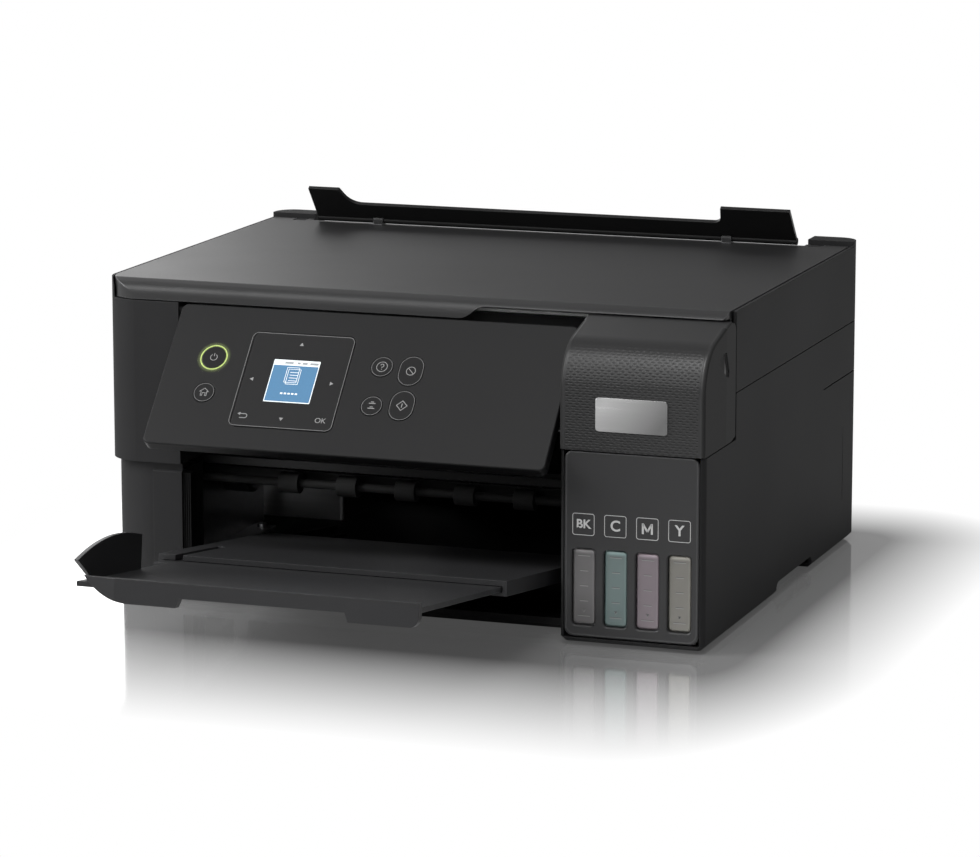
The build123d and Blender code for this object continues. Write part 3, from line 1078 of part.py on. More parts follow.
BEARINGS = ((FEED_Y, FEED_Z, FEED_SHAFT_R), (EXIT_Y, EXIT_Z, EXIT_SHAFT_R),
            (PICKUP_Y, PICKUP_Z, FEED_SHAFT_R))
with BuildPart() as main_frame:
    for x0 in (FRAME_X0 - SHEET_T, FRAME_X1):
        slab_yz([(ENGINE_Y0, FLOOR_Z), (ENGINE_Y0, ENGINE_LOW_Z), (ENGINE_STEP_Y, ENGINE_LOW_Z),
                (ENGINE_STEP_Y, ENGINE_TOP_Z), (ENGINE_Y1, ENGINE_TOP_Z), (ENGINE_Y1, FLOOR_Z)], x0,
                x0 + SHEET_T)
        for y, z, radius in BEARINGS:
            rod_x(y, z, radius + RUN_FIT, x0 - 1, x0 + SHEET_T + 1, Mode.SUBTRACT)
    block(FRAME_X0, FRAME_X1, BACK_PLATE_Y, BACK_PLATE_Y + SHEET_T, BACK_PLATE_Z, ENGINE_TOP_Z)
    # screw flanges along the floor
    for x in SCREW_XS:
        block(x - FLANGE_W / 2, x + FLANGE_W / 2, ENGINE_STEP_Y, ENGINE_Y1 - FLANGE_W, FLOOR_Z,
              FLOOR_Z + SHEET_T)
    with BuildSketch(Plane.XY.offset(FLOOR_Z)):
        with Locations([(x, y) for x in SCREW_XS for y in SCREW_YS]):
            Circle(SCREW_R + FIT)
    extrude(amount=SHEET_T, mode=Mode.SUBTRACT)
    # holes for the two motor shafts, and pins for the idle pulley and the idler gear
    rod_x(PINION_Y, PINION_Z, MOTOR_SHAFT_R + FIT, FRAME_X0 - SHEET_T - 1, FRAME_X0 + 1, Mode.SUBTRACT)
    with BuildSketch(Plane.XZ.offset(-BACK_PLATE_Y)):
        with Locations((DRIVE_X, BELT_Z)):
            Circle(MOTOR_SHAFT_R + FIT)
    extrude(amount=-SHEET_T, mode=Mode.SUBTRACT)
    with BuildSketch(Plane.XZ.offset(-BACK_PLATE_Y)):
        with Locations((IDLE_X, BELT_Z)):
            Circle(IDLE_PIN_R)
    extrude(amount=BACK_PLATE_Y - BELT_Y0)
    rod_x(IDLER_Y, IDLER_Z, IDLER_PIN_R, FRAME_X0 - SHEET_T, GEAR_X0)
save(main_frame, "main_frame")

# Frame screws
SCREW_HEAD_R = 3.0
SCREW_HEAD_H = 2.0
with BuildPart() as frame_screws:
    with Locations([(x, y, FLOOR_Z + SHEET_T) for x in SCREW_XS for y in SCREW_YS]):
        Cylinder(SCREW_HEAD_R, SCREW_HEAD_H, align=(Align.CENTER, Align.CENTER, Align.MIN))
        Cylinder(SCREW_R, SHEET_T + FLOOR_T / 3, align=(Align.CENTER, Align.CENTER, Align.MAX))
    with BuildSketch(Plane.XY.offset(FLOOR_Z + SHEET_T + SCREW_HEAD_H)):
        with Locations([(x, y) for x in SCREW_XS for y in SCREW_YS]):
            for turn in (0, 90):
                Rectangle(SCREW_HEAD_R, SCREW_HEAD_R / 4, rotation=turn)
    extrude(amount=-SCREW_HEAD_H / 2, mode=Mode.SUBTRACT)
save(frame_screws, "frame_screws")

# Guide rod of the carriage, and the encoder strip behind it
with BuildPart() as guide_rod:
    rod_x(ROD_Y, ROD_Z, GUIDE_ROD_R, FRAME_X0, FRAME_X1)
save(guide_rod, "guide_rod")
ENCODER_Y = ROD_Y + 10.6
ENCODER_T = 0.4
ENCODER_H = 8.0
with BuildPart() as encoder_strip:
    block(FRAME_X0, FRAME_X1, ENCODER_Y, ENCODER_Y + ENCODER_T, ROD_Z + 6, ROD_Z + 6 + ENCODER_H)
save(encoder_strip, "encoder_strip")

# Print carriage: parked at the right over the capping station, open at the top for the ink dampers
CARRIAGE_X = FRAME_X1 - 27.0
CARRIAGE_W = 50.0
CARRIAGE_Y0 = 40.0
CARRIAGE_Y1 = 102.0
CARRIAGE_Z0 = 72.0
CARRIAGE_Z1 = 110.0
DAMPER_W = 9.0
DAMPER_L = 36.0
BELT_IN_R = 6.2
BELT_T = 1.0
TAB_W = 10.0
with BuildPart() as print_carriage:
    block(CARRIAGE_X - CARRIAGE_W / 2, CARRIAGE_X + CARRIAGE_W / 2, CARRIAGE_Y0, CARRIAGE_Y1,
          CARRIAGE_Z0, CARRIAGE_Z1)
    fillet(print_carriage.edges().filter_by(Axis.Z), 2 * WALL)
    with BuildSketch(Plane.XY.offset(CARRIAGE_Z1)):
        with Locations((CARRIAGE_X, CARRIAGE_Y0 + DAMPER_L / 2 + 2 * WALL)):
            with GridLocations(DAMPER_W + WALL, 0, TANK_N, 1):
                RectangleRounded(DAMPER_W, DAMPER_L, WALL)
    extrude(amount=-CARRIAGE_Z1 + CARRIAGE_Z0 + 2 * WALL, mode=Mode.SUBTRACT)
    rod_x(ROD_Y, ROD_Z, GUIDE_ROD_R + RUN_FIT, CARRIAGE_X - CARRIAGE_W, CARRIAGE_X + CARRIAGE_W,
          Mode.SUBTRACT)
    block(CARRIAGE_X - TAB_W / 2, CARRIAGE_X + TAB_W / 2, CARRIAGE_Y1 - 1, BELT_Y0 + BELT_W - 1,
          BELT_Z + BELT_IN_R + BELT_T + GEAR_GAP, ROD_Z)
save(print_carriage, "print_carriage")

# Print head, under the carriage
HEAD_T = 5.0
HEAD_W = 36.0
HEAD_D = 26.0
HEAD_Y0 = CARRIAGE_Y0 + 8.0
with BuildPart() as print_head:
    block(CARRIAGE_X - HEAD_W / 2, CARRIAGE_X + HEAD_W / 2, HEAD_Y0, HEAD_Y0 + HEAD_D,
          CARRIAGE_Z0 - HEAD_T, CARRIAGE_Z0)
    chamfer(print_head.faces().sort_by(Axis.Z)[0].edges(), HEAD_T / 4)
save(print_head, "print_head")

# Carriage belt, round its two pulleys
with BuildPart() as carriage_belt:
    with BuildSketch(Plane.XZ.offset(-BELT_Y0)):
        with Locations(((DRIVE_X + IDLE_X) / 2, BELT_Z)):
            SlotCenterToCenter(IDLE_X - DRIVE_X, 2 * (BELT_IN_R + BELT_T))
            SlotCenterToCenter(IDLE_X - DRIVE_X, 2 * BELT_IN_R, mode=Mode.SUBTRACT)
    extrude(amount=-BELT_W)
save(carriage_belt, "carriage_belt")
PULLEYS = (("belt_pulley_drive", DRIVE_X, MOTOR_SHAFT_R), ("belt_pulley_idle", IDLE_X, IDLE_PIN_R))
for name, x, bore in PULLEYS:
    with BuildPart() as pulley:
        with BuildSketch(Plane.XZ.offset(-BELT_Y0)):
            with Locations((x, BELT_Z)):
                Circle(BELT_IN_R - FIT)
                Circle(bore + RUN_FIT, mode=Mode.SUBTRACT)
                with PolarLocations(BELT_IN_R - FIT, 12):
                    Circle(0.5, mode=Mode.SUBTRACT)
        extrude(amount=-BELT_W)
    save(pulley, name)

# Carriage motor, behind the back plate
MOTOR_R = 14.0
MOTOR_L = 18.0
MOTOR_EDGE = 2.0
with BuildPart() as carriage_motor:
    with BuildSketch(Plane.XZ.offset(-BACK_PLATE_Y - SHEET_T)):
        with Locations((DRIVE_X, BELT_Z)):
            Circle(MOTOR_R)
    extrude(amount=-MOTOR_L)
    chamfer(carriage_motor.edges().sort_by(Axis.Y)[-1], MOTOR_EDGE)
    with BuildSketch(Plane.XZ.offset(-BACK_PLATE_Y - SHEET_T)):
        with Locations((DRIVE_X, BELT_Z)):
            Circle(MOTOR_SHAFT_R)
    extrude(amount=BACK_PLATE_Y + SHEET_T - BELT_Y0)
save(carriage_motor, "carriage_motor")

# Capping station: where the print head parks, with a soft rim round the nozzles
CAP_STATION_X0 = FRAME_X1 - 42.0
CAP_STATION_Z0 = 40.0
CAP_STATION_Z1 = 63.0
CAP_RIM_H = 2.4
CAP_RIM_W = 26.0
CAP_RIM_D = 28.0
CAP_RIM_T = 2.0
FEED_ROOM = 8.0
with BuildPart() as capping_station:
    block(CAP_STATION_X0, FRAME_X1, CARRIAGE_Y0 + 2, FEED_Y - FEED_ROOM, CAP_STATION_Z0, CAP_STATION_Z1)
    with BuildSketch(Plane.XY.offset(CAP_STATION_Z1)):
        with Locations((CARRIAGE_X, HEAD_Y0 + HEAD_D / 2)):
            RectangleRounded(CAP_RIM_W, CAP_RIM_D, CAP_RIM_T)
            RectangleRounded(CAP_RIM_W - 2 * CAP_RIM_T, CAP_RIM_D - 2 * CAP_RIM_T, CAP_RIM_T / 2,
                             mode=Mode.SUBTRACT)
    extrude(amount=CAP_RIM_H)
save(capping_station, "capping_station")

# Platen: the ribbed bed that the sheet passes over
PLATEN_TOP_Z = 65.0
RIB_H = 2.0
RIB_W = 2.5
RIB_N = 14
PLATEN_T = 9.0
PLATEN_Y0 = 36.0
PLATEN_Y1 = 76.0
with BuildPart() as platen:
    block(FRAME_X0, CAP_STATION_X0, PLATEN_Y0, PLATEN_Y1, PLATEN_TOP_Z - PLATEN_T, PLATEN_TOP_Z - RIB_H)
    with BuildSketch(Plane.XY.offset(PLATEN_TOP_Z - RIB_H)):
        with Locations(((FRAME_X0 + CAP_STATION_X0) / 2, (PLATEN_Y0 + PLATEN_Y1) / 2)):
            with GridLocations((CAP_STATION_X0 - FRAME_X0) / RIB_N, 0, RIB_N, 1):
                Rectangle(RIB_W, PLATEN_Y1 - PLATEN_Y0 - 2 * RIB_H)
    extrude(amount=RIB_H)
save(platen, "platen")

TOOTH_H = 1.2


def gear_teeth(y, z, tip_radius, teeth, bore):
    """A toothed wheel on the outside of the left side plate."""
    with BuildSketch(Plane.YZ.offset(GEAR_X0)) as wheel:
        with Locations((y, z)):
            Circle(tip_radius - TOOTH_H)
            with PolarLocations(tip_radius - TOOTH_H, teeth):
                Rectangle(2 * TOOTH_H, 3 * tip_radius / teeth)
        with Locations((y, z)):
            Circle(bore, mode=Mode.SUBTRACT)
    extrude(wheel.sketch, amount=GEAR_W)


# Feed roller and its gear
ROLLER_R = 6.0
ROLLER_HALF = 106.0
with BuildPart() as feed_roller:
    rod_x(FEED_Y, FEED_Z, FEED_SHAFT_R, GEAR_X0, FRAME_X1 + SHEET_T)
    rod_x(FEED_Y, FEED_Z, ROLLER_R, -ROLLER_HALF, ROLLER_HALF)
save(feed_roller, "feed_roller")
with BuildPart() as feed_gear:
    gear_teeth(FEED_Y, FEED_Z, GEAR_R, 24, FEED_SHAFT_R)
save(feed_gear, "feed_gear")
with BuildPart() as idler_gear:
    gear_teeth(IDLER_Y, IDLER_Z, IDLER_R, 36, IDLER_PIN_R + RUN_FIT)
save(idler_gear, "idler_gear")

# Exit roller: rubber rings on a shaft moulded with its gear
RING_N = 6
RING_W = 12.0
RING_PITCH = 36.0
RING_XS = [(i - (RING_N - 1) / 2) * RING_PITCH for i in range(RING_N)]
with BuildPart() as exit_roller:
    gear_teeth(EXIT_Y, EXIT_Z, GEAR_R, 24, EXIT_SHAFT_R)
    rod_x(EXIT_Y, EXIT_Z, EXIT_SHAFT_R, GEAR_X0, FRAME_X1 + SHEET_T)
    for x in RING_XS:
        rod_x(EXIT_Y, EXIT_Z, ROLLER_R, x - RING_W / 2, x + RING_W / 2)
save(exit_roller, "exit_roller")

# Star wheel holder: the bar over the exit roller with small spiked wheels under it
STAR_R = 3.6
STAR_Z = 69.4
STAR_T = 1.0
HOLDER_D = 14.0
with BuildPart() as star_wheel_holder:
    block(FRAME_X0, FRAME_X1, EXIT_Y - HOLDER_D / 2, EXIT_Y + HOLDER_D / 2, STAR_Z - STAR_T, ENGINE_LOW_Z)
    for x in RING_XS:
        for side in (-1, 1):
            star_x = x + side * RING_W / 4
            rod_x(EXIT_Y, STAR_Z, STAR_R, star_x - STAR_T / 2, star_x + STAR_T / 2)
save(star_wheel_holder, "star_wheel_holder")

# Feed motor inside the left side plate, with its pinion outside
with BuildPart() as feed_motor:
    rod_x(PINION_Y, PINION_Z, MOTOR_R, FRAME_X0, FRAME_X0 + MOTOR_L)
    chamfer(feed_motor.edges().sort_by(Axis.X)[-1], MOTOR_EDGE)
    rod_x(PINION_Y, PINION_Z, MOTOR_SHAFT_R, GEAR_X0, FRAME_X0)
save(feed_motor, "feed_motor")
with BuildPart() as feed_pinion:
    gear_teeth(PINION_Y, PINION_Z, PINION_R, 10, MOTOR_SHAFT_R + RUN_FIT)
save(feed_pinion, "feed_pinion")

# Pickup roller, in front of the foot of the stack
PICKUP_R = 14.0
PICKUP_W = 44.0
with BuildPart() as pickup_roller:
    rod_x(PICKUP_Y, PICKUP_Z, FEED_SHAFT_R, FRAME_X0 - SHEET_T, FRAME_X1 + SHEET_T)
    rod_x(PICKUP_Y, PICKUP_Z, PICKUP_R, -PICKUP_W / 2, PICKUP_W / 2)
save(pickup_roller, "pickup_roller")

# Waste ink box, on the floor at the right
WASTE_X1 = HALF_W - 15.5
WASTE_W = 60.0
WASTE_Y1 = BACK_Y - 26.0
WASTE_D = 62.0
WASTE_H = 40.5
WASTE_R = 4.0
with BuildPart() as waste_ink_box:
    block(WASTE_X1 - WASTE_W, WASTE_X1, WASTE_Y1 - WASTE_D, WASTE_Y1, FLOOR_Z, FLOOR_Z + WASTE_H)
    fillet(waste_ink_box.edges().filter_by(Axis.Z), WASTE_R)
save(waste_ink_box, "waste_ink_box")

# Power supply, with its mains inlet in the back wall
SUPPLY_W = 60.0
SUPPLY_D = 70.0
SUPPLY_H = 47.5
SUPPLY_R = 3.0
SUPPLY_BACK = 14.0
SUPPLY_X0 = INLET_X - 24.0
INLET_DEPTH = 9.0
INLET_RIM = 3.0
INLET_PROUD = 0.2
PRONG_R = 1.2
PRONG_PITCH = 9.0
SUPPLY_Y1 = BACK_Y - SUPPLY_BACK
with BuildPart() as power_supply:
    block(SUPPLY_X0, SUPPLY_X0 + SUPPLY_W, SUPPLY_Y1 - SUPPLY_D, SUPPLY_Y1, FLOOR_Z, FLOOR_Z + SUPPLY_H)
    fillet(power_supply.edges().filter_by(Axis.Z), SUPPLY_R)
    block(INLET_X - INLET_W / 2, INLET_X + INLET_W / 2, SUPPLY_Y1, BACK_Y + INLET_PROUD,
          INLET_Z - INLET_H / 2, INLET_Z + INLET_H / 2)
    with BuildSketch(Plane.XZ.offset(-BACK_Y - INLET_PROUD)):
        with Locations((INLET_X, INLET_Z)):
            SlotOverall(INLET_W - 2 * INLET_RIM, INLET_H - 2 * INLET_RIM)
    extrude(amount=INLET_DEPTH, mode=Mode.SUBTRACT)
    with BuildSketch(Plane.XZ.offset(-BACK_Y - INLET_PROUD + INLET_DEPTH)):
        with Locations((INLET_X, INLET_Z)):
            with GridLocations(PRONG_PITCH, 0, 2, 1):
                Circle(PRONG_R)
    extrude(amount=1 - INLET_DEPTH)
save(power_supply, "power_supply")

# Main board on the back wall, with its chips and its data socket
BOARD_T = 1.6
BOARD_W = 112.0
BOARD_H = 45.0
BOARD_Z = FLOOR_Z + 5.5
BOARD_Y = BACK_Y - 9.0
BOARD_X1 = HALF_W - 15.5
CHIP_T = 2.0
CHIPS = ((82.0, 34.0, 20.0), (50.0, 40.0, 12.0), (60.0, 20.0, 8.0))
PORT_W = 8.0
PORT_D = 5.0
with BuildPart() as main_board:
    block(BOARD_X1 - BOARD_W, BOARD_X1, BOARD_Y, BOARD_Y + BOARD_T, BOARD_Z, BOARD_Z + BOARD_H)
    for left, z, size in CHIPS:
        block(BOARD_X1 - left - size / 2, BOARD_X1 - left + size / 2, BOARD_Y - CHIP_T, BOARD_Y,
              z - size / 2, z + size / 2)
    block(SOCKET_X - SOCKET_W / 2, SOCKET_X + SOCKET_W / 2, BOARD_Y + BOARD_T, BACK_Y + INLET_PROUD,
          SOCKET_Z - SOCKET_W / 2, SOCKET_Z + SOCKET_W / 2)
    block(SOCKET_X - PORT_W / 2, SOCKET_X + PORT_W / 2, BACK_Y - PORT_D, BACK_Y + 1, SOCKET_Z - PORT_W / 2,
          SOCKET_Z + PORT_W / 2, Mode.SUBTRACT)
save(main_board, "main_board")

# Ink tubes: four tubes from the backs of the tanks, moulded into one joint on the floor
JOINT_Y0 = TANK_BACK_Y + 14.7
JOINT_D = 10.0
JOINT_SIDE = 6.0
with BuildPart() as ink_tubes:
    for x in TANK_XS:
        with BuildSketch(Plane.XZ.offset(-TANK_BACK_Y + 1)) as tube:
            with Locations((x, TUBE_Z)):
                Circle(TUBE_R)
        extrude(tube.sketch, amount=-(JOINT_Y0 - TANK_BACK_Y + 2))
    block(TANK_XS[0] - JOINT_SIDE, TANK_XS[-1] + JOINT_SIDE, JOINT_Y0, JOINT_Y0 + JOINT_D, FLOOR_Z,
          TUBE_Z + JOINT_SIDE)
save(ink_tubes, "ink_tubes")
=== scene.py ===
"""Looks of an inkjet printer with a flatbed scanner, side ink tanks and a tilting control panel.

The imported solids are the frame. This script gives every one of them a finish and adds the printed
signs and labels, the screen picture, the raised tank windows with their level marks, the plate on the
tank cover and the studio.
"""

import math

import bmesh
import bpy
from bpy.props import FloatProperty, FloatVectorProperty, PointerProperty
from bpy.types import Operator, Panel, PropertyGroup
from mathutils import Matrix, Vector


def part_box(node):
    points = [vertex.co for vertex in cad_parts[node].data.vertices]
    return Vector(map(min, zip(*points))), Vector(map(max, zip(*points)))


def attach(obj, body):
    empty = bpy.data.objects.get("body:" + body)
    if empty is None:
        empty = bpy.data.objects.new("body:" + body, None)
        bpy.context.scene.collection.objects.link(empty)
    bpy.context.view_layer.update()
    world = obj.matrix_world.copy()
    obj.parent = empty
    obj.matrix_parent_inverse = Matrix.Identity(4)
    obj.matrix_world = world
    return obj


bl_info = {
    "name": "Inkjet printer looks",
    "version": (1, 0, 0),
    "blender": (4, 5, 0),
    "location": "3D View > Sidebar > Printer",
    "description": "Finishes, signs and studio for an inkjet printer",
    "category": "Object",
}

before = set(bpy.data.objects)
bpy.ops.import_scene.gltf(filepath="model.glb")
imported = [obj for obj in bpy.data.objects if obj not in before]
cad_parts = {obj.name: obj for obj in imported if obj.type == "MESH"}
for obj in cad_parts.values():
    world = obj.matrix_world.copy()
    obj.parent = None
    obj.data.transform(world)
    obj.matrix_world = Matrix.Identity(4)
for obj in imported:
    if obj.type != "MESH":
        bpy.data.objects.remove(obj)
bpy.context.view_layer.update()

MM = 0.001
STEEL = (0.5, 0.5, 0.51)
BUTTONS = ("power_button", "home_button", "help_button", "stop_button", "menu_button", "start_button")

# The control panel's face: the middle of its top line, and how far it leans back from upright
PANEL_TOP = Vector((0.0, -23.2, 168.2)) * MM
PANEL_TILT = math.radians(41.4)

# How far any print stands off its face, and how high the faces printed on are over the panel's, in mm
PRINT_LIFT = 0.04
PANEL_PRINT = 0.2
KEY_PRINT = 0.25
PICTURE_PRINT = 0.25
SIGN_PRINT = 0.3
RING_PRINT = 0.06
HALO_PRINT = 0.02

# Lines of the panel's drawing, in mm
RIM_LINE = 0.28
ARROW_LINE = 0.5
POWER_SPOT = (-108.0, -34.1)
RING_RADIUS = 7.75

# Each ink: its label, the tone of its tank and the colour of its cap
INKS = {
    "black": ("BK", (0.125, 0.12, 0.122), (0.02, 0.02, 0.02)),
    "cyan": ("C", (0.132, 0.186, 0.182), (0.03, 0.3, 0.5)),
    "magenta": ("M", (0.2, 0.165, 0.185), (0.5, 0.04, 0.2)),
    "yellow": ("Y", (0.19, 0.183, 0.162), (0.75, 0.55, 0.03)),
}

# Faces at the front of the tank bay, in mm
TANK_FACE_Y = -69.4
TANK_BODY_Y = -66.1
COVER_FACE_Y = -70.0

# Labels, raised windows and level marks of the tanks, in mm
LABEL_Z = 68.0
WINDOW_Z = 32.9
WINDOW_RISE = 1.9
MARK_FOOT = 17.0
MARK_STEP = 8.4
MARK_WIDTHS = (7.0, 4.6, 4.6, 4.6, 7.0)
PALE_DROP = -0.42

# The paper bay's walls inside the lower case, in mm; inside them the case's colour is painted dark as shade
BAY_LEFT = -138.8
BAY_RIGHT = 104.8
BAY_FRONT = -21.0
BAY_BACK = 240.0
BAY_TOP = 134.0

# The mains inlet, and how deep the sockets and chips stand on their box and board, in mm
INLET_X = -150.0
INLET_Z = 29.0
PRONG_PITCH = 9.0
PRONG_HALF = 1.3
INLET_DEPTH = 14.1
SOCKET_DEPTH = 7.5
CHIP_DEPTH = 1.95

# The object's footprint on the floor, and where the floor's darker ground starts and stops fading, in mm
FOOT_SIDE = 190.0
FOOT_FRONT = -68.0
FOOT_BACK = 240.0
FADE_START = 45.0
FADE_STOP = 225.0
FADE_HASTE = 2.2
NEAR_WHITE = 0.06

# Lamps: name, place, aim, size in m, power in W, and whether reflections show it
LAMPS = (
    ("side_box", (-1.35, 1.45, 1.0), (0, 0.1, 0.15), 1.3, 12.0, True),
    ("left_box", (-1.6, -0.8, 1.25), (0, 0.0, 0.1), 1.0, 52.0, True),
    ("top_box", (0.1, -0.85, 1.8), (0, 0.0, 0.1), 1.0, 20.0, True),
    ("front_box", (0.1, -2.6, 1.5), (0, 0.0, 0.1), 1.8, 22.0, True),
    ("back_box", (0.3, 2.1, 1.9), (0, 0.2, 0.1), 1.2, 26.0, False),
)


# Shader building


class Wire:
    """A shader socket whose arithmetic adds Math nodes."""

    def __init__(self, finish, socket):
        self.finish = finish
        self.socket = socket

    def math(self, operation, first, second=0.0):
        return self.finish.node("ShaderNodeMath", {"operation": operation}, {0: first, 1: second})

    def __add__(self, other):
        return self.math("ADD", self, other)

    def __radd__(self, other):
        return self.math("ADD", other, self)

    def __sub__(self, other):
        return self.math("SUBTRACT", self, other)

    def __rsub__(self, other):
        return self.math("SUBTRACT", other, self)

    def __mul__(self, other):
        return self.math("MULTIPLY", self, other)

    def __rmul__(self, other):
        return self.math("MULTIPLY", other, self)

    def __truediv__(self, other):
        return self.math("DIVIDE", self, other)

    def __pow__(self, other):
        return self.math("POWER", self, other)

    def __gt__(self, other):
        return self.math("GREATER_THAN", self, other)

    def __lt__(self, other):
        return self.math("LESS_THAN", self, other)

    def __abs__(self):
        return self.math("ABSOLUTE", self)

    def whole(self):
        return self.math("FLOOR", self)

    def part(self):
        return self.math("FRACT", self)

    def at_least(self, other):
        return self.math("MAXIMUM", self, other)

    def at_most(self, other):
        return self.math("MINIMUM", self, other)


class Nodes:
    """A node tree, of a material or the world."""

    def __init__(self, tree):
        self.tree = tree

    def node(self, kind, settings=None, sockets=None, out=0):
        """Add a node, set it up, feed its sockets and give back one of its outputs."""
        made = self.tree.nodes.new(kind)
        for key, value in (settings or {}).items():
            setattr(made, key, value)
        for key, value in (sockets or {}).items():
            self.feed(made.inputs[key], value)
        return Wire(self, made.outputs[out])

    def feed(self, socket, value):
        if isinstance(value, Wire):
            self.tree.links.new(value.socket, socket)
        else:
            socket.default_value = value


class Finish(Nodes):
    """One material, built node by node around a Principled shader."""

    def __init__(self, name):
        self.material = bpy.data.materials.new(name)
        self.material.use_nodes = True
        super().__init__(self.material.node_tree)
        self.shader = self.tree.nodes["Principled BSDF"]
        self.output = self.tree.nodes["Material Output"]

    def set(self, **sockets):
        """Feed the Principled shader, with underscores for the spaces in its socket names."""
        for key, value in sockets.items():
            self.feed(self.shader.inputs[key.replace("_", " ")], value)

    def place(self):
        return self.node("ShaderNodeTexCoord", out="Object")

    def axis(self, letter):
        """One Object coordinate, in mm."""
        return self.node("ShaderNodeSeparateXYZ", None, {0: self.place()}, letter) / MM

    def noise(self, scale, detail=2.0, stretch=(1, 1, 1)):
        spot = self.node("ShaderNodeMapping", None, {"Vector": self.place(), "Scale": stretch})
        return self.node("ShaderNodeTexNoise", None, {"Vector": spot, "Scale": scale, "Detail": detail})

    def blend(self, factor, first, second):
        """A colour between two colours."""
        return self.node("ShaderNodeMix", {"data_type": "RGBA"}, {0: factor, 6: first, 7: second}, 2)

    def ease(self, value, start, stop):
        """0 up to the start, 1 from the stop, and a straight slope between them."""
        return self.node("ShaderNodeMapRange", {"clamp": True}, {0: value, 1: start, 2: stop, 3: 0.0, 4: 1.0})

    def line_at(self, value, place, width):
        """1 along a soft line where a value passes a place."""
        return (1.0 - abs(value - place) / width).at_least(0.0)

    def soft_edges(self, radius):
        return self.node("ShaderNodeBevel", {"samples": 4}, {"Radius": radius})

    def edge_highlight_mask(self, radius):
        """1 on sharp edges and 0 on flat faces: the places that get a painted highlight."""
        face = self.node("ShaderNodeNewGeometry", out="True Normal")
        same = self.node("ShaderNodeVectorMath", {"operation": "DOT_PRODUCT"},
                         {0: self.soft_edges(radius), 1: face}, "Value")
        return ((1.0 - same) * 7.0).at_most(1.0)

    def bump(self, height, strength, distance, edge):
        return self.node("ShaderNodeBump", None, {
            "Strength": strength, "Distance": distance, "Height": height, "Normal": self.soft_edges(edge)})


def shade(colour, factor):
    """A colour made lighter or darker, with an alpha of 1."""
    return tuple(min(1.0, c * factor) for c in colour[:3]) + (1.0,)


def moulded_plastic(name, colour, roughness, grain=0.5 * MM, depth=0.12, edge=0.6 * MM, rub_and_highlight=0.5,
                    sheen=0.3, pale=2.6):
    """Spark-eroded mould texture: a fine pebble grain, slow drifts of tone, and sharp edges painted paler as
    a painted highlight.
    """
    finish = Finish(name)
    pebble = finish.noise(1 / grain, 1.5)
    drift = finish.noise(11, 3)
    edge_highlight = finish.edge_highlight_mask(edge)
    tone = finish.blend(drift, shade(colour, 0.88), shade(colour, 1.12))
    # Sharp edges are painted paler here: a painted highlight.
    finish.base = finish.blend(edge_highlight * rub_and_highlight, tone, shade(colour, pale))
    finish.set(
        Base_Color=finish.base,
        Roughness=roughness + (pebble - 0.5) * 0.16 + (drift - 0.5) * 0.08 - edge_highlight * 0.08,
        Normal=finish.bump(pebble, depth, 0.12 * MM, edge),
        Specular_IOR_Level=sheen,
    )
    return finish


def polished_plastic(name, colour, roughness=0.16):
    """Smooth moulded plastic with faint rubs that show in the gloss."""
    finish = Finish(name)
    rub_and_highlight = finish.noise(60, 4, (1, 6, 1))
    finish.set(
        Base_Color=finish.blend(rub_and_highlight, shade(colour, 0.92), shade(colour, 1.1)),
        Roughness=roughness + rub_and_highlight * 0.1,
        Normal=finish.soft_edges(0.4 * MM),
    )
    return finish


def brushed_metal(name, colour, roughness=0.34):
    """Rolled sheet with a fine lengthwise brush."""
    finish = Finish(name)
    finish.brush = finish.noise(400, 3, (0.05, 1, 1))
    finish.base = finish.blend(finish.brush, shade(colour, 0.8), shade(colour, 1.1))
    finish.set(
        Metallic=1.0,
        Base_Color=finish.base,
        Roughness=roughness + (finish.brush - 0.5) * 0.2,
        Normal=finish.bump(finish.brush, 0.08, 0.05 * MM, 0.3 * MM),
    )
    return finish


def printed_ink(name, colour, strength=0.0):
    """Screen-printed ink, a little uneven, which may glow as a lit sign does."""
    finish = Finish(name)
    speck = finish.noise(1500, 2)
    tone = finish.blend(speck, shade(colour, 0.85), shade(colour, 1.1))
    finish.set(Base_Color=tone, Roughness=0.45 + speck * 0.1)
    if strength:
        finish.set(Emission_Color=tone, Emission_Strength=strength)
    return finish


# Mesh building. Signs are drawn flat, in mm, and then laid on their face


def panel_matrix(height):
    """From a flat drawing in mm, with y up the slope, to the control panel's face and a height over it."""
    up = Vector((0, math.sin(PANEL_TILT), math.cos(PANEL_TILT)))
    out = Vector((0, -math.cos(PANEL_TILT), math.sin(PANEL_TILT)))
    turn = Matrix((Vector((1, 0, 0)), up, out)).transposed().to_4x4()
    return Matrix.Translation(PANEL_TOP + out * height * MM) @ turn @ Matrix.Scale(MM, 4)


def upright_matrix(y):
    """From a flat drawing in mm to an upright face at the front of the tank bay."""
    turn = Matrix((Vector((1, 0, 0)), Vector((0, 0, 1)), Vector((0, -1, 0)))).transposed().to_4x4()
    return Matrix.Translation((0, y * MM, 0)) @ turn @ Matrix.Scale(MM, 4)


def new_piece(name, mesh, place, finish, body):
    """Turn a drawing into a finished piece that rides on a body."""
    bmesh.ops.transform(mesh, matrix=place, verts=mesh.verts)
    bmesh.ops.recalc_face_normals(mesh, faces=mesh.faces)
    data = bpy.data.meshes.new(name)
    mesh.to_mesh(data)
    mesh.free()
    data.materials.append(finish.material)
    piece = bpy.data.objects.new(name, data)
    bpy.context.scene.collection.objects.link(piece)
    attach(piece, body)


def bar(mesh, start, end, width):
    """A straight stroke between two points."""
    start, end = Vector(start).to_3d(), Vector(end).to_3d()
    along = end - start
    place = (Matrix.Translation((start + end) / 2) @ Matrix.Rotation(math.atan2(along.y, along.x), 4, "Z")
             @ Matrix.Diagonal((along.length / 2, width / 2, 1, 1)))
    bmesh.ops.create_grid(mesh, x_segments=1, y_segments=1, size=1.0, matrix=place)


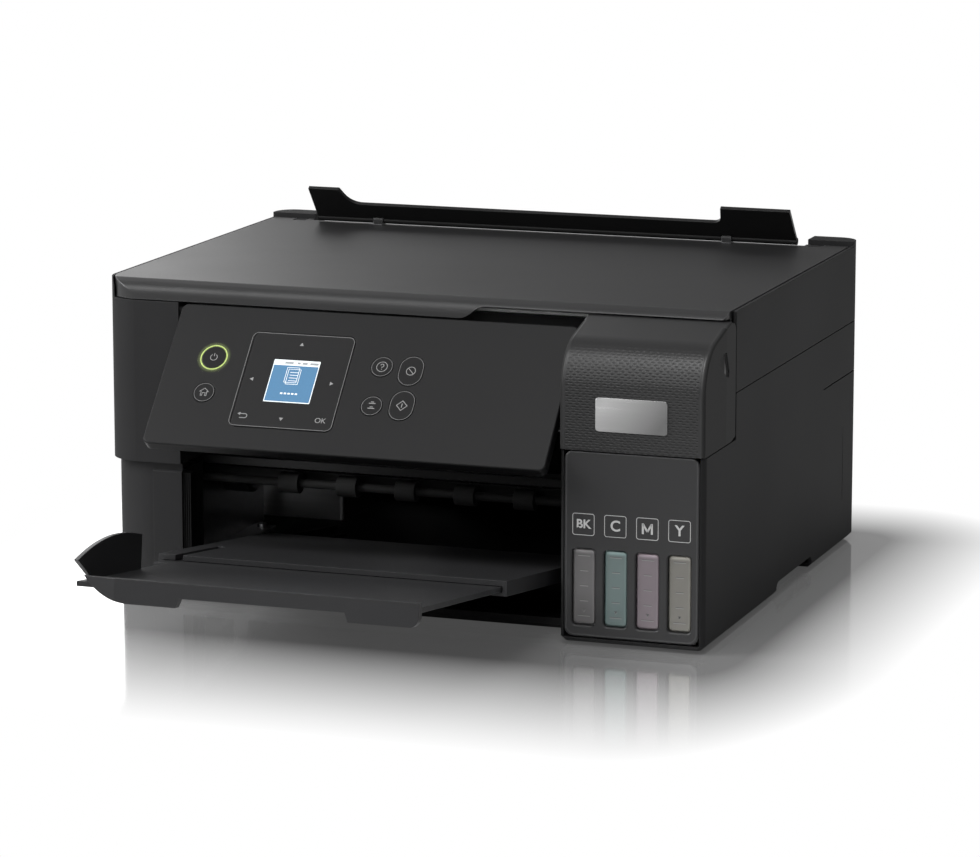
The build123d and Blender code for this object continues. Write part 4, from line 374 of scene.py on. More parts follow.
def ring(mesh, centre, radius, width, start=0.0, sweep=360.0):
    """A round stroke: a short spoke spun about a centre."""
    middle = Vector(centre).to_3d()
    spoke = Vector((math.cos(math.radians(start)), math.sin(math.radians(start)), 0))
    ends = [mesh.verts.new(middle + spoke * (radius + side * width / 2)) for side in (-1, 1)]
    edge = mesh.edges.new(ends)
    bmesh.ops.spin(mesh, geom=ends + [edge], cent=middle, axis=(0, 0, 1), angle=math.radians(sweep),
                   steps=max(6, round(sweep / 7.5)), use_merge=sweep == 360.0)


def corner_shape(mesh, centre, radius, corners, turn=0.0):
    """A filled shape with equal sides and one corner in the direction of the turn."""
    place = Matrix.Translation(Vector(centre).to_3d()) @ Matrix.Rotation(math.radians(turn - 90), 4, "Z")
    made = bmesh.ops.create_circle(mesh, cap_ends=True, radius=radius, segments=corners, matrix=place)
    return made["verts"][0].link_faces[0]


def round_box(mesh, centre, width, height, radius):
    """A filled box with round corners, about a centre."""
    place = Matrix.Translation(Vector(centre).to_3d()) @ Matrix.Diagonal((width / 2, height / 2, 1, 1))
    made = bmesh.ops.create_grid(mesh, x_segments=1, y_segments=1, size=1.0, matrix=place)
    round_off = bmesh.ops.bevel(mesh, geom=made["verts"], offset=radius, affect="VERTICES", segments=8,
                                profile=0.5, material=-1)
    return round_off["verts"][0].link_faces[0]


def hollow(mesh, face, width):
    """Leave only a line inside the rim of a filled shape."""
    face.normal_update()
    bmesh.ops.inset_region(mesh, faces=[face], thickness=width, use_boundary=True, use_even_offset=True)
    bmesh.ops.delete(mesh, geom=[face], context="FACES")


def letters(mesh, words, size, centre, weight=0.0):
    """Add upright letters about a centre."""
    curve = bpy.data.curves.new("letters", "FONT")
    curve.body = words
    curve.size = size
    curve.align_x = "CENTER"
    curve.align_y = "CENTER"
    curve.offset = weight
    holder = bpy.data.objects.new("letters", curve)
    bpy.context.scene.collection.objects.link(holder)
    bpy.context.view_layer.update()
    flat = bpy.data.meshes.new_from_object(holder.evaluated_get(bpy.context.evaluated_depsgraph_get()))
    flat.transform(Matrix.Translation(Vector(centre).to_3d()))
    mesh.from_mesh(flat)
    bpy.data.objects.remove(holder)
    bpy.data.curves.remove(curve)
    bpy.data.meshes.remove(flat)


def raise_plate(mesh, face, thickness):
    """Make a filled shape a solid plate with a softened front edge, its back on the drawing."""
    raised = bmesh.ops.extrude_face_region(mesh, geom=[face])["geom"]
    top = [v for v in raised if isinstance(v, bmesh.types.BMVert)]
    bmesh.ops.translate(mesh, verts=top, vec=(0, 0, thickness))
    rim = [e for e in raised if isinstance(e, bmesh.types.BMEdge)]
    bmesh.ops.bevel(mesh, geom=rim, offset=thickness * 0.4, affect="EDGES", segments=2, profile=0.5,
                    material=-1)


def dress(finish, *nodes):
    """Give solids of the frame a finish."""
    for name in nodes:
        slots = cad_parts[name].data.materials
        slots.clear()
        slots.append(finish.material)


# Settings


class PrinterSettings(PropertyGroup):
    """Colours and finishes that a user would change."""

    case_colour: FloatVectorProperty(
        name="Case", description="Charcoal plastic of the case", subtype="COLOR", size=3, min=0, max=1,
        default=(0.015, 0.015, 0.0155))
    lid_colour: FloatVectorProperty(
        name="Lid", description="Plastic of the document lid and the guard", subtype="COLOR",
        size=3, min=0, max=1, default=(0.013, 0.013, 0.0134))
    panel_colour: FloatVectorProperty(
        name="Panel", description="Plastic of the control panel", subtype="COLOR", size=3, min=0, max=1,
        default=(0.006, 0.006, 0.0063))
    inner_colour: FloatVectorProperty(
        name="Inside", description="Black plastic inside and of the tray", subtype="COLOR",
        size=3, min=0, max=1, default=(0.008, 0.008, 0.0085))
    print_colour: FloatVectorProperty(
        name="Print", description="Grey ink of the signs", subtype="COLOR", size=3, min=0, max=1,
        default=(0.38, 0.38, 0.38))
    glow_colour: FloatVectorProperty(
        name="Lamp", description="Light round the power button", subtype="COLOR", size=3, min=0, max=1,
        default=(0.33, 0.43, 0.1))
    screen_colour: FloatVectorProperty(
        name="Screen", description="Ground of the screen picture", subtype="COLOR", size=3, min=0, max=1,
        default=(0.025, 0.112, 0.218))
    line_width: FloatProperty(
        name="Line", description="Width of a printed line, in mm", default=0.34, min=0.1, max=1.0)


# Operators


class PRINTER_OT_case(Operator):
    """Finish the case, the lid, the panel and the tank cover"""

    bl_idname = "printer.case"
    bl_label = "Case"

    def execute(self, context):
        settings = context.scene.printer
        case = moulded_plastic("case_plastic", settings.case_colour, 0.66, sheen=0.1)
        dress(case, "rear_case", "scanner_frame")
        dress(self.shaded_bay(settings), "lower_case")
        # The lid's edges are painted much paler: a strong painted highlight along every edge.
        lid = moulded_plastic("lid_plastic", settings.lid_colour, 0.42, grain=0.45 * MM, depth=0.08,
                              edge=1.0 * MM, rub_and_highlight=1.0, sheen=0.4, pale=8.0)
        dress(lid, "document_lid")
        guard = moulded_plastic("guard_plastic", shade(settings.lid_colour, 0.45), 0.4, grain=0.45 * MM,
                                depth=0.08)
        dress(guard, "feeder_guard")
        face = moulded_plastic("panel_plastic", settings.panel_colour, 0.44, grain=0.4 * MM, depth=0.06,
                               edge=0.7 * MM, rub_and_highlight=0.25, sheen=0.15)
        dress(face, "control_panel", "panel_display")
        keys = moulded_plastic("key_plastic", shade(settings.panel_colour, 0.95), 0.4, grain=0.4 * MM,
                               depth=0.06, edge=0.4 * MM, rub_and_highlight=0.15, sheen=0.14)
        dress(keys, *BUTTONS)
        dress(self.beaded_panel(settings.case_colour), "tank_panel")
        dress(self.woven_cover(settings.case_colour), "tank_cover")
        return {"FINISHED"}

    def shaded_bay(self, settings):
        """The lower case's plastic, painted near-black inside the paper bay as painted shade."""
        finish = moulded_plastic("lower_case_plastic", settings.case_colour, 0.66, sheen=0.1)
        across, deep, up = finish.axis("X"), finish.axis("Y"), finish.axis("Z")
        bay = ((across > BAY_LEFT) * (across < BAY_RIGHT) * (deep > BAY_FRONT) * (up < BAY_TOP)
               * (deep < BAY_BACK))
        # Inside the paper bay the colour is painted darker than the inside plastic: painted shade.
        finish.set(Base_Color=finish.blend(bay, finish.base, shade(settings.inner_colour, 0.35)))
        return finish

    def beaded_panel(self, colour):
        """The tank panel's plastic, with a thin raised bead inside its edge, round at the foot, and a raised
        line along its top; both are painted paler as a painted highlight.
        """
        finish = moulded_plastic("tank_panel_plastic", shade(colour, 1.35), 0.42)
        low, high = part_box("tank_panel")
        across = abs(finish.axis("X") - (low.x + high.x) / 2 / MM)
        down = finish.axis("Z") * -1.0
        inset, corner = 1.3, 5.0
        side = (across - ((high.x - low.x) / 2 / MM - inset - corner)).at_least(0.0)
        foot = (down + (low.z / MM + inset + corner)).at_least(0.0)
        out = (side * side + foot * foot) ** 0.5 - corner
        front = finish.axis("Y") < TANK_FACE_Y + 0.5
        # The bead and the line along the top edge are raised, and trim paints them paler: a painted
        # highlight.
        bead = (finish.line_at(out, 0.0, 0.5) * 0.7 + finish.line_at(down, -high.z / MM + 0.4, 0.8)) * front
        self.trim(finish, shade(colour, 1.25), bead, bead)
        return finish

    def woven_cover(self, colour):
        """The cover's plastic: at each side a bead painted paler as a highlight and a groove painted dark as
        shade, duller cheeks painted darker as shade, and rows of short hollow dashes, painted dark as shade,
        that fade out upwards."""
        finish = moulded_plastic("cover_plastic", colour, 0.32, sheen=0.46)
        low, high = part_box("tank_cover")
        left, right = low.x / MM, high.x / MM
        across, up = finish.axis("X"), finish.axis("Z")
        cheek = (across > right - 0.2) + (across < left + 0.2)
        row_pitch, dash_pitch = 1.45, 3.9
        row = (up / row_pitch).whole()
        along = (across / dash_pitch + (row / 2).part()).part()
        dash = (1.0 - abs(along - 0.5) * 2.6).at_least(0.0)
        groove = (1.0 - abs((up / row_pitch).part() - 0.5) * 3.0).at_least(0.0)
        front = finish.axis("Y") < -30.0
        inside = (across > left + 3.2) * (across < right - 3.8)
        holes = (dash * groove * 2.4).at_most(1.0) * front * inside * finish.ease(up, 168.0, 152.0)
        beads = (finish.line_at(across, left + 2.2, 0.6)
                 + finish.line_at(across, right - 2.7, 0.6)) * front * 0.3
        grooves = (finish.line_at(across, left + 0.4, 1.4)
                   + finish.line_at(across, right - 0.7, 1.7)) * front
        # The beads are painted paler as a highlight; the grooves, the dashes and the cheeks are painted
        # darker as shade.
        self.trim(finish, shade(colour, 0.6), beads, beads * 0.7 - grooves - holes,
                  (holes + grooves * 1.6 + cheek * 0.3).at_most(1.0))
        dull = (cheek + grooves * 2.0 + holes).at_most(1.0)
        finish.set(Roughness=0.26 + finish.noise(2000, 1.5) * 0.12 + dull * 0.5)
        return finish

    def trim(self, finish, colour, ridge_highlight, height, sunk_shade=None):
        """Lay ridges and hollow dashes over a plastic: ridges get a painted highlight that makes them paler,
        and hollow places painted shade that makes them darker.
        """
        pebble = finish.noise(2000, 1.5)
        drift = finish.noise(11, 3)
        tone = finish.blend(drift, shade(colour, 1.0), shade(colour, 1.3))
        # Hollow places are painted darker as shade, and ridges paler as a highlight.
        if sunk_shade:
            tone = finish.blend(sunk_shade, tone, shade(colour, 0.15))
        finish.set(Base_Color=finish.blend((ridge_highlight * 0.6).at_most(1.0), tone, shade(colour, 4.5)),
                   Normal=finish.bump(height + pebble * 0.12, 0.5, 0.3 * MM, 0.6 * MM))


class PRINTER_OT_tanks(Operator):
    """Finish the ink tanks, their caps, and print the labels and level marks"""

    bl_idname = "printer.tanks"
    bl_label = "Ink tanks"

    def execute(self, context):
        settings = context.scene.printer
        ink = printed_ink("label_ink", settings.print_colour)
        # Pale ink for painted highlights on the level marks, and dark ink for their painted shadows.
        mark_highlight = printed_ink("mark_highlight", (0.2, 0.2, 0.2))
        shadow_ink = printed_ink("mark_shadow", (0.06, 0.06, 0.06))
        for colour, (words, tone, cap) in INKS.items():
            dress(moulded_plastic("cap_" + colour, cap, 0.45), "tank_cap_" + colour)
            low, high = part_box("ink_tank_" + colour)
            middle = (low.x + high.x) / 2 / MM
            wall = self.tank_wall(colour, tone, middle)
            dress(wall, "ink_tank_" + colour)
            self.print_label(words, colour, middle, ink, settings.line_width)
            self.raise_window(colour, middle, wall)
            # The pale marks are a painted highlight and the dark ones a painted shadow.
            self.print_marks("level_mark_highlights_" + colour, middle, PALE_DROP, mark_highlight, "ink_" + colour)
            self.print_marks("level_shadows_" + colour, middle, 0.0, shadow_ink, "ink_" + colour)
        dress(moulded_plastic("bracket_plastic", settings.inner_colour, 0.5), "cap_bracket", "cover_hinge")
        return {"FINISHED"}

    def tank_wall(self, colour, tone, middle):
        """Cloudy plastic with the ink's tone behind it, and a painted highlight along the top and the sides
        of its window.
        """
        finish = Finish("tank_" + colour)
        cloud = finish.noise(160, 3)
        depth = finish.ease(finish.axis("Z"), 56.0, 10.0)
        body = finish.blend(depth, shade(tone, 0.56), shade(tone, 0.6))
        cloudy = finish.blend(cloud * 0.35, body, shade(tone, 0.9))
        side = finish.ease(abs(finish.axis("X") - middle), 4.7, 5.7)
        top = finish.ease(finish.axis("Z"), 51.4, 53.4)
        # The top and the sides of the window are painted paler: a painted highlight.
        rim = (side * 0.25 + top).at_most(1.0)
        finish.set(Base_Color=finish.blend(rim, cloudy, shade(tone, 2.1)), Roughness=0.26 + cloud * 0.12,
                   Coat_Weight=0.3, Normal=finish.bump(cloud, 0.1, 0.2 * MM, 1.2 * MM))
        return finish

    def print_label(self, words, colour, middle, ink, width):
        mesh = bmesh.new()
        hollow(mesh, round_box(mesh, (middle, LABEL_Z), 12.6, 12.2, 1.4), width)
        if words == "M":
            self.bold_m(mesh, middle, LABEL_Z)
        else:
            size = 8.3 if len(words) == 1 else 6.8
            letters(mesh, words, size, (middle, LABEL_Z), 0.17)
        new_piece("label_" + colour, mesh, upright_matrix(TANK_FACE_Y - PRINT_LIFT), ink, "base")

    def bold_m(self, mesh, x, y):
        """The letter whose narrow corners spoil when its outline is thickened, in plain strokes."""
        for side in (-1, 1):
            bar(mesh, (x + side * 2.55, y - 2.95), (x + side * 2.55, y + 2.95), 1.15)
            bar(mesh, (x + side * 2.4, y + 2.55), (x, y - 1.6), 1.1)

    def raise_window(self, colour, middle, wall):
        """The tank's thick front face, which stands up inside its window."""
        mesh = bmesh.new()
        raise_plate(mesh, round_box(mesh, (middle, WINDOW_Z), 12.2, 41.6, 2.0), WINDOW_RISE)
        new_piece("tank_window_" + colour, mesh, upright_matrix(TANK_BODY_Y), wall, "base")

    def print_marks(self, name, middle, drop, ink, slot):
        """Moulded level marks: a pale set of painted highlight shows just below a dark set of painted shadow,
        as their lit and shaded edges do.
        """
        mesh = bmesh.new()
        for i, width in enumerate(MARK_WIDTHS):
            level = MARK_FOOT + i * MARK_STEP + drop
            bar(mesh, (middle - width / 2, level), (middle + width / 2, level), 0.4)
        corner_shape(mesh, (middle, MARK_FOOT + 3.0 + drop), 1.1, 3, 270)
        face = TANK_BODY_Y - WINDOW_RISE - PRINT_LIFT
        new_piece(name, mesh, upright_matrix(face), ink, "base")


class PRINTER_OT_cover_trim(Operator):
    """Add the bare metal plate on the tank cover"""

    bl_idname = "printer.cover_trim"
    bl_label = "Cover plate"

    def execute(self, context):
        mesh = bmesh.new()
        raise_plate(mesh, round_box(mesh, (146.1, 129.5), 40.8, 18.7, 1.8), 0.6)
        pale = (0.62, 0.62, 0.62)
        metal = brushed_metal("plate_metal", pale, 0.3)
        # The plate is painted light at the left and dark at the right: a painted reflection.
        painted_reflection = metal.ease(metal.axis("X") - metal.axis("Z") * 0.6, 50.0, 88.0)
        tone = metal.blend(painted_reflection, shade(pale, 1.0), (0.16, 0.16, 0.16, 1))
        metal.set(Base_Color=metal.blend(metal.brush * 0.4, tone, (0.3, 0.3, 0.3, 1)))
        new_piece("cover_plate", mesh, upright_matrix(COVER_FACE_Y), metal, "tank_cover")
        return {"FINISHED"}


class PRINTER_OT_panel_prints(Operator):
    """Print the signs on the control panel and its buttons, and light the screen and the power ring"""

    bl_idname = "printer.panel_prints"
    bl_label = "Panel prints"

    def execute(self, context):
        settings = context.scene.printer
        self.width = settings.line_width
        self.ink = printed_ink("panel_ink", shade(settings.print_colour, 0.5))
        self.faint = printed_ink("faint_ink", shade(settings.print_colour, 0.27))
        self.glow = printed_ink("lamp_glow", settings.glow_colour, 0.3)
        self.print_frame()
        self.print_screen(settings)
        self.print_buttons()
        return {"FINISHED"}

    def lay(self, name, mesh, finish, body, slot, height):
        """Lay a drawing just over a height above the panel's face."""
        new_piece(name, mesh, panel_matrix(height + PRINT_LIFT), finish, body)

    def print_frame(self):
        mesh = bmesh.new()
        hollow(mesh, round_box(mesh, (-57.6, -46.4), 61.6, 61.1, 3.6), self.width)
        self.lay("screen_frame_line", mesh, self.faint, "control_panel", "panel_plastic", PANEL_PRINT)
        mesh = bmesh.new()
        arrows = ((-57.7, -22.5, 90), (-81.5, -46.5, 180), (-34.1, -46.4, 0), (-57.7, -70.9, 270))
        for x, y, turn in arrows:
            corner_shape(mesh, (x, y), 1.4, 3, turn)
        letters(mesh, "OK", 4.6, (-34.4, -70.6))
        bar(mesh, (-83.0, -69.2), (-79.6, -69.2), ARROW_LINE)
        ring(mesh, (-79.6, -70.5), 1.3, ARROW_LINE, -90, 180)
        bar(mesh, (-79.6, -71.8), (-82.6, -71.8), ARROW_LINE)
        corner_shape(mesh, (-83.1, -69.2), 1.2, 3, 180)
        self.lay("screen_key_signs", mesh, self.ink, "control_panel", "panel_plastic", PANEL_PRINT)

    def print_screen(self, settings):
        left, right, top, foot = -71.3, -43.6, -32.8, -60.4
        middle, centre = (left + right) / 2, (top + foot) / 2
        white = printed_ink("screen_white", (0.6, 0.64, 0.66), 0.3)
        blue = printed_ink("screen_blue", settings.screen_colour, 0.35)
        grey = printed_ink("status_ink", (0.25, 0.27, 0.28))
        mesh = bmesh.new()
        round_box(mesh, (middle, centre), right - left, top - foot, 0.5)
        self.lay("screen_ground", mesh, white, "control_panel", "gloss_black", PANEL_PRINT)
        mesh = bmesh.new()
        round_box(mesh, (middle, centre - 1.5), right - left - 1.0, top - foot - 4.2, 0.4)
        self.lay("screen_picture", mesh, blue, "control_panel", "gloss_black", PICTURE_PRINT)
        mesh = bmesh.new()
        page, blocks = -43.6, -54.6
        for step in (0.0, 1.1):
            hollow(mesh, round_box(mesh, (middle - step, page + step), 7.6, 10.0, 0.4), 0.3)
        for line in (-2.6, -0.8, 1.0, 2.8):
            bar(mesh, (middle - 2.4, page + line), (middle + 2.4, page + line), 0.34)
        for i in range(5):
            start = middle - 5 + i * 2.2
            bar(mesh, (start, blocks), (start + 1.4, blocks), 1.0)
        self.lay("screen_sign", mesh, white, "control_panel", "gloss_black", SIGN_PRINT)
        mesh = bmesh.new()
        for start, stop in ((-7.0, -2.0), (0.4, 2.2), (3.4, 6.4), (8.0, 13.0)):
            bar(mesh, (middle + start, top - 1.9), (middle + stop, top - 1.9), 1.3)
        self.lay("screen_status", mesh, grey, "control_panel", "gloss_black", SIGN_PRINT)

    def print_buttons(self):
        signs = {
            "power_button": (*POWER_SPOT, self.power_sign),
            "home_button": (-107.8, -57.2, self.home_sign),
            "help_button": (-7.0, -33.4, self.help_sign),
            "stop_button": (10.5, -35.0, self.stop_sign),
            "menu_button": (-6.9, -58.8, self.menu_sign),
            "start_button": (10.6, -57.4, self.start_sign),
        }
        rims = {
            "home_button": (11.9, 11.9), "help_button": (12.3, 12.3), "menu_button": (11.9, 11.9),
            "stop_button": (13.9, 18.5), "start_button": (13.9, 18.5),
        }
        for name, (x, y, sign) in signs.items():
            mesh = bmesh.new()
            sign(mesh, x, y)
            self.lay(name + "_sign", mesh, self.ink, name, "button_plastic", KEY_PRINT)
            if name in rims:
                mesh = bmesh.new()
                width, height = rims[name]
                hollow(mesh, round_box(mesh, (x, y), width, height, width / 2 - 0.01), RIM_LINE)
                self.lay(name + "_line", mesh, self.faint, name, "button_plastic", KEY_PRINT)
        mesh = bmesh.new()
        ring(mesh, POWER_SPOT, RING_RADIUS, 0.62)
        self.lay("power_ring", mesh, self.glow, "control_panel", "power_plastic", RING_PRINT)
        mesh = bmesh.new()
        ring(mesh, POWER_SPOT, 8.6, 3.4)
        self.lay("power_halo", mesh, self.soft_halo(), "control_panel", "power_plastic", HALO_PRINT)

    def soft_halo(self):
        """Light that leaks round the power ring and fades to both sides."""
        finish = Finish("lamp_halo")
        middle = panel_matrix(0.0) @ Vector(POWER_SPOT).to_3d()
        away = finish.node("ShaderNodeVectorMath", {"operation": "DISTANCE"},
                           {0: finish.place(), 1: middle}, "Value") / MM
        leak = finish.line_at(away, RING_RADIUS, 2.4)
        finish.set(Base_Color=(0.03, 0.04, 0.004, 1), Roughness=0.5, Alpha=(leak * 1.2).at_most(0.9),
                   Emission_Color=(0.05, 0.08, 0.005, 1), Emission_Strength=0.4)
        return finish

    def power_sign(self, mesh, x, y):
        ring(mesh, (x, y), 2.0, 0.4, 125, 290)
        bar(mesh, (x, y + 0.6), (x, y + 2.8), 0.4)

    def home_sign(self, mesh, x, y):
        corners = ((0, 2.9), (-3.0, 0.4), (-1.9, 0.4), (-1.9, -2.3), (-0.7, -2.3), (-0.7, -0.5),
                   (0.7, -0.5), (0.7, -2.3), (1.9, -2.3), (1.9, 0.4), (3.0, 0.4))
        house = mesh.faces.new([mesh.verts.new((x + cx, y + cy, 0)) for cx, cy in corners])
        hollow(mesh, house, self.width)

    def help_sign(self, mesh, x, y):
        ring(mesh, (x, y), 3.1, 0.36)
        ring(mesh, (x, y + 0.75), 0.95, 0.42, -75, 245)
        bar(mesh, (x, y + 0.05), (x, y - 0.75), 0.42)
        bar(mesh, (x - 0.24, y - 1.55), (x + 0.24, y - 1.55), 0.48)

    def stop_sign(self, mesh, x, y):
        ring(mesh, (x, y), 2.6, 0.4)
        bar(mesh, (x - 1.7, y + 1.7), (x + 1.7, y - 1.7), 0.4)

    def menu_sign(self, mesh, x, y):
        for level in (1.6, -1.6):
            bar(mesh, (x - 2.0, y + level), (x + 2.0, y + level), 0.5)
            bar(mesh, (x - 0.9, y + level + 0.9), (x + 0.9, y + level + 0.9), 0.5)

    def start_sign(self, mesh, x, y):
        hollow(mesh, corner_shape(mesh, (x, y), 3.4, 4), 0.42)
        bar(mesh, (x, y + 1.3), (x, y - 1.3), 0.5)


class PRINTER_OT_inside(Operator):
    """Finish the tray, the feeder, the print engine and the scanner"""

    bl_idname = "printer.inside"
    bl_label = "Tray and inside"

    def execute(self, context):
        settings = context.scene.printer
        black = moulded_plastic("inner_plastic", settings.inner_colour, 0.46)
        dress(black, "paper_support", "edge_guide_left", "edge_guide_right", "print_carriage",
              "capping_station", "platen", "star_wheel_holder", "waste_ink_box", "scan_bar")
        tray = moulded_plastic("tray_plastic", shade(settings.inner_colour, 1.9), 0.38)
        dress(tray, "output_tray", "tray_extension")
        steel = brushed_metal("sheet_steel", STEEL)
        dress(steel, "main_frame", "frame_screws", "guide_rod", "scan_guide_rod", "unit_hinges",
              "carriage_motor", "feed_motor", "print_head")
        dress(self.supply(settings.inner_colour), "power_supply")
        rubber = moulded_plastic("soft_rubber", (0.02, 0.02, 0.02), 0.75, grain=0.9 * MM, depth=0.2)
        dress(rubber, "rubber_feet", "feed_roller", "exit_roller", "pickup_roller")
        gears = polished_plastic("gear_plastic", (0.72, 0.72, 0.7), 0.35)
        dress(gears, "feed_gear", "idler_gear", "feed_pinion", "belt_pulley_drive", "belt_pulley_idle")
        foam = moulded_plastic("pad_foam", (0.8, 0.8, 0.79), 0.7, grain=0.7 * MM, depth=0.2)
        dress(foam, "document_pad")
        dress(polished_plastic("tube_plastic", (0.3, 0.31, 0.31), 0.22), "ink_tubes")
        belt = self.ruled("belt_rubber", (0.015, 0.015, 0.015), (0.04, 0.04, 0.04), 2.0, 0.6)
        dress(belt, "carriage_belt")
        film = self.ruled("code_film", (0.5, 0.5, 0.5), (0.06, 0.06, 0.06), 1.2, 0.25)
        dress(film, "encoder_strip")
        dress(self.circuit(), "main_board")
        dress(self.glass(), "scanner_glass")
        return {"FINISHED"}

    def ruled(self, name, colour, line_colour, pitch, roughness):
        """A strip with fine cross lines: a belt's teeth or a code strip's marks."""
        finish = Finish(name)
        line = finish.ease(abs((finish.axis("X") / pitch).part() - 0.5), 0.2, 0.3)
        finish.set(Base_Color=finish.blend(line, shade(colour, 1.0), shade(line_colour, 1.0)),
                   Roughness=roughness + line * 0.1, Normal=finish.bump(line, 0.3, 0.2 * MM, 0.2 * MM))
        return finish

    def supply(self, colour):
        """A steel box whose mains inlet is black plastic round two bare prongs."""
        finish = brushed_metal("supply_steel", STEEL)
        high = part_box("power_supply")[1]
        prongs = ((abs(abs(finish.axis("X") - INLET_X) - PRONG_PITCH / 2) < PRONG_HALF)
                  * (abs(finish.axis("Z") - INLET_Z) < PRONG_HALF))
        inlet = (finish.axis("Y") > high.y / MM - INLET_DEPTH) * (1.0 - prongs)
        finish.set(Metallic=1.0 - inlet, Base_Color=finish.blend(inlet, finish.base, shade(colour, 1.0)),
                   Roughness=0.34 + inlet * 0.14 + (finish.brush - 0.5) * 0.1)
        return finish

    def circuit(self):
        """Green lacquer over tracks and tinned pads, with black chips and a steel data socket."""
        finish = Finish("board_lacquer")
        low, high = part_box("main_board")
        deep = finish.axis("Y")
        socket = deep > high.y / MM - SOCKET_DEPTH
        chip = deep < low.y / MM + CHIP_DEPTH
        spot = finish.place()
        tracks = finish.node("ShaderNodeTexBrick", None,
                             {"Vector": spot, "Scale": 120.0, "Mortar Size": 0.06}, "Fac")
        pads = finish.node("ShaderNodeTexVoronoi", None, {"Vector": spot, "Scale": 260.0}, "Distance") < 0.2
        green = finish.blend(tracks, (0.012, 0.1, 0.045, 1), (0.04, 0.22, 0.09, 1))
        lacquer = finish.blend(pads, green, (0.6, 0.58, 0.52, 1))
        cased = finish.blend(chip, lacquer, (0.012, 0.012, 0.012, 1))
        finish.set(Base_Color=finish.blend(socket, cased, shade(STEEL, 1.0)),
                   Metallic=(pads * 0.9 * (1.0 - chip)).at_least(socket), Roughness=0.32 - tracks * 0.06,
                   Normal=finish.bump(tracks, 0.2, 0.1 * MM, 0.2 * MM))
        return finish

    def glass(self):
        finish = polished_plastic("bed_glass", (0.75, 0.8, 0.8), 0.04)
        finish.set(Transmission_Weight=0.92, IOR=1.5)
        return finish


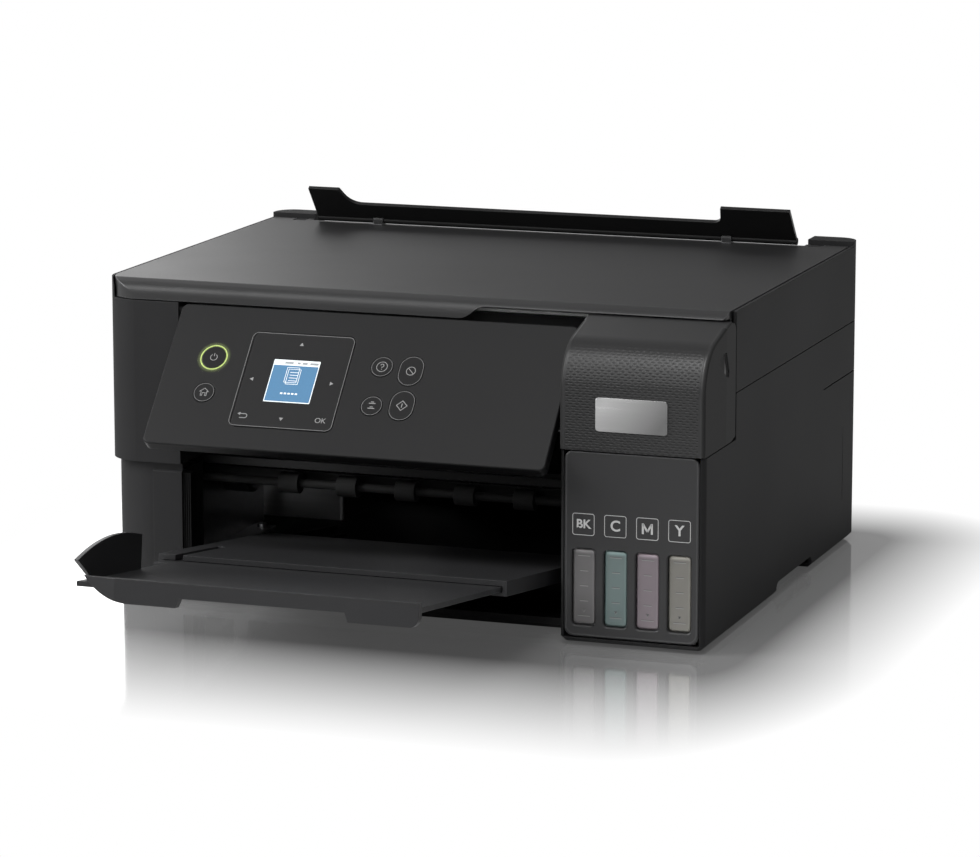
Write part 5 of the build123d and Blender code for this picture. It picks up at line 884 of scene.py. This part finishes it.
class PRINTER_OT_stage(Operator):
    """Lay the floor, hang the lamps and set up the camera"""

    bl_idname = "printer.stage"
    bl_label = "Stage"

    def execute(self, context):
        scene = context.scene
        scene.view_settings.view_transform = "Standard"
        self.make_world(scene)
        self.make_floor()
        for lamp in LAMPS:
            self.make_lamp(*lamp)
        self.make_camera(scene)
        return {"FINISHED"}

    def make_world(self, scene):
        """A plain studio: dim near the horizon and bright overhead."""
        world = bpy.data.worlds.new("studio")
        scene.world = world
        world.use_nodes = True
        sky = Nodes(world.node_tree)
        around = sky.node("ShaderNodeTexCoord", out="Generated")
        height = sky.node("ShaderNodeSeparateXYZ", None, {0: around}, "Z")
        strength = sky.node("ShaderNodeMapRange", None, {
            "Value": height, "From Min": 0.1, "From Max": 0.8, "To Min": 0.12, "To Max": 0.3}, "Result")
        ground = world.node_tree.nodes["Background"]
        sky.feed(ground.inputs["Strength"], strength)
        sky.feed(ground.inputs["Color"], (1, 1, 1, 1))

    def make_floor(self):
        """A pale polished floor, white away from the object and darker and mirror-like round it."""
        finish = Finish("pale_floor")
        shimmer = finish.noise(3, 2)
        finish.set(Base_Color=finish.blend(shimmer, (0.88, 0.88, 0.88, 1), (0.91, 0.91, 0.91, 1)),
                   Roughness=0.09, Specular_IOR_Level=1.0, Metallic=0.85)
        rays = [finish.node("ShaderNodeLightPath", out=kind)
                for kind in ("Is Camera Ray", "Is Glossy Ray", "Is Transmission Ray")]
        seen = rays[0].at_least(rays[1]).at_least(rays[2])
        white = finish.node("ShaderNodeEmission", None, {"Color": (1, 1, 1, 1), "Strength": 1.0})
        deep = finish.axis("Y")
        side = (abs(finish.axis("X")) - FOOT_SIDE).at_least(0.0) * FADE_HASTE
        ahead = (FOOT_FRONT - deep).at_least((deep - FOOT_BACK) * FADE_HASTE).at_least(0.0)
        far = finish.ease((side * side + ahead * ahead) ** 0.5, FADE_START, FADE_STOP)
        share = seen * (NEAR_WHITE + far * (1.0 - NEAR_WHITE))
        mixed = finish.node("ShaderNodeMixShader", None,
                            {0: share, 1: Wire(finish, finish.shader.outputs[0]), 2: white})
        finish.feed(finish.output.inputs["Surface"], mixed)
        mesh = bmesh.new()
        bmesh.ops.create_grid(mesh, x_segments=1, y_segments=1, size=12.0)
        data = bpy.data.meshes.new("floor")
        mesh.to_mesh(data)
        mesh.free()
        data.materials.append(finish.material)
        floor = bpy.data.objects.new("floor", data)
        bpy.context.scene.collection.objects.link(floor)

    def make_lamp(self, name, place, aim, size, power, mirrored):
        data = bpy.data.lights.new(name, "AREA")
        data.size = size
        data.energy = power
        lamp = bpy.data.objects.new(name, data)
        lamp.location = place
        lamp.rotation_euler = (Vector(aim) - Vector(place)).to_track_quat("-Z", "Y").to_euler()
        lamp.visible_camera = False
        lamp.visible_glossy = mirrored
        bpy.context.scene.collection.objects.link(lamp)

    def make_camera(self, scene):
        data = bpy.data.cameras.new("camera")
        data.sensor_width = 36.0
        data.lens = 160.9
        data.clip_end = 50.0
        camera = bpy.data.objects.new("camera", data)
        camera.location = (0.8491, -2.2794, 0.5751)
        aim = Vector((0.00671, 0.095, 0.08349)) - camera.location
        camera.rotation_euler = aim.to_track_quat("-Z", "Y").to_euler()
        scene.collection.objects.link(camera)
        scene.camera = camera


class PRINTER_PT_sidebar(Panel):
    """The printer's settings and steps"""

    bl_label = "Printer"
    bl_idname = "PRINTER_PT_sidebar"
    bl_space_type = "VIEW_3D"
    bl_region_type = "UI"
    bl_category = "Printer"

    def draw(self, context):
        layout = self.layout
        for name in PrinterSettings.__annotations__:
            layout.prop(context.scene.printer, name)
        for step in STEPS:
            layout.operator(step.bl_idname)


STEPS = (PRINTER_OT_case, PRINTER_OT_tanks, PRINTER_OT_cover_trim, PRINTER_OT_panel_prints, PRINTER_OT_inside,
         PRINTER_OT_stage)
CLASSES = (PrinterSettings, *STEPS, PRINTER_PT_sidebar)


def register():
    for cls in CLASSES:
        bpy.utils.register_class(cls)
    bpy.types.Scene.printer = PointerProperty(type=PrinterSettings)


def unregister():
    del bpy.types.Scene.printer
    for cls in reversed(CLASSES):
        bpy.utils.unregister_class(cls)


def main():
    register()
    bpy.ops.printer.case()
    bpy.ops.printer.tanks()
    bpy.ops.printer.cover_trim()
    bpy.ops.printer.panel_prints()
    bpy.ops.printer.inside()
    bpy.ops.printer.stage()


if __name__ == "__main__":
    main()
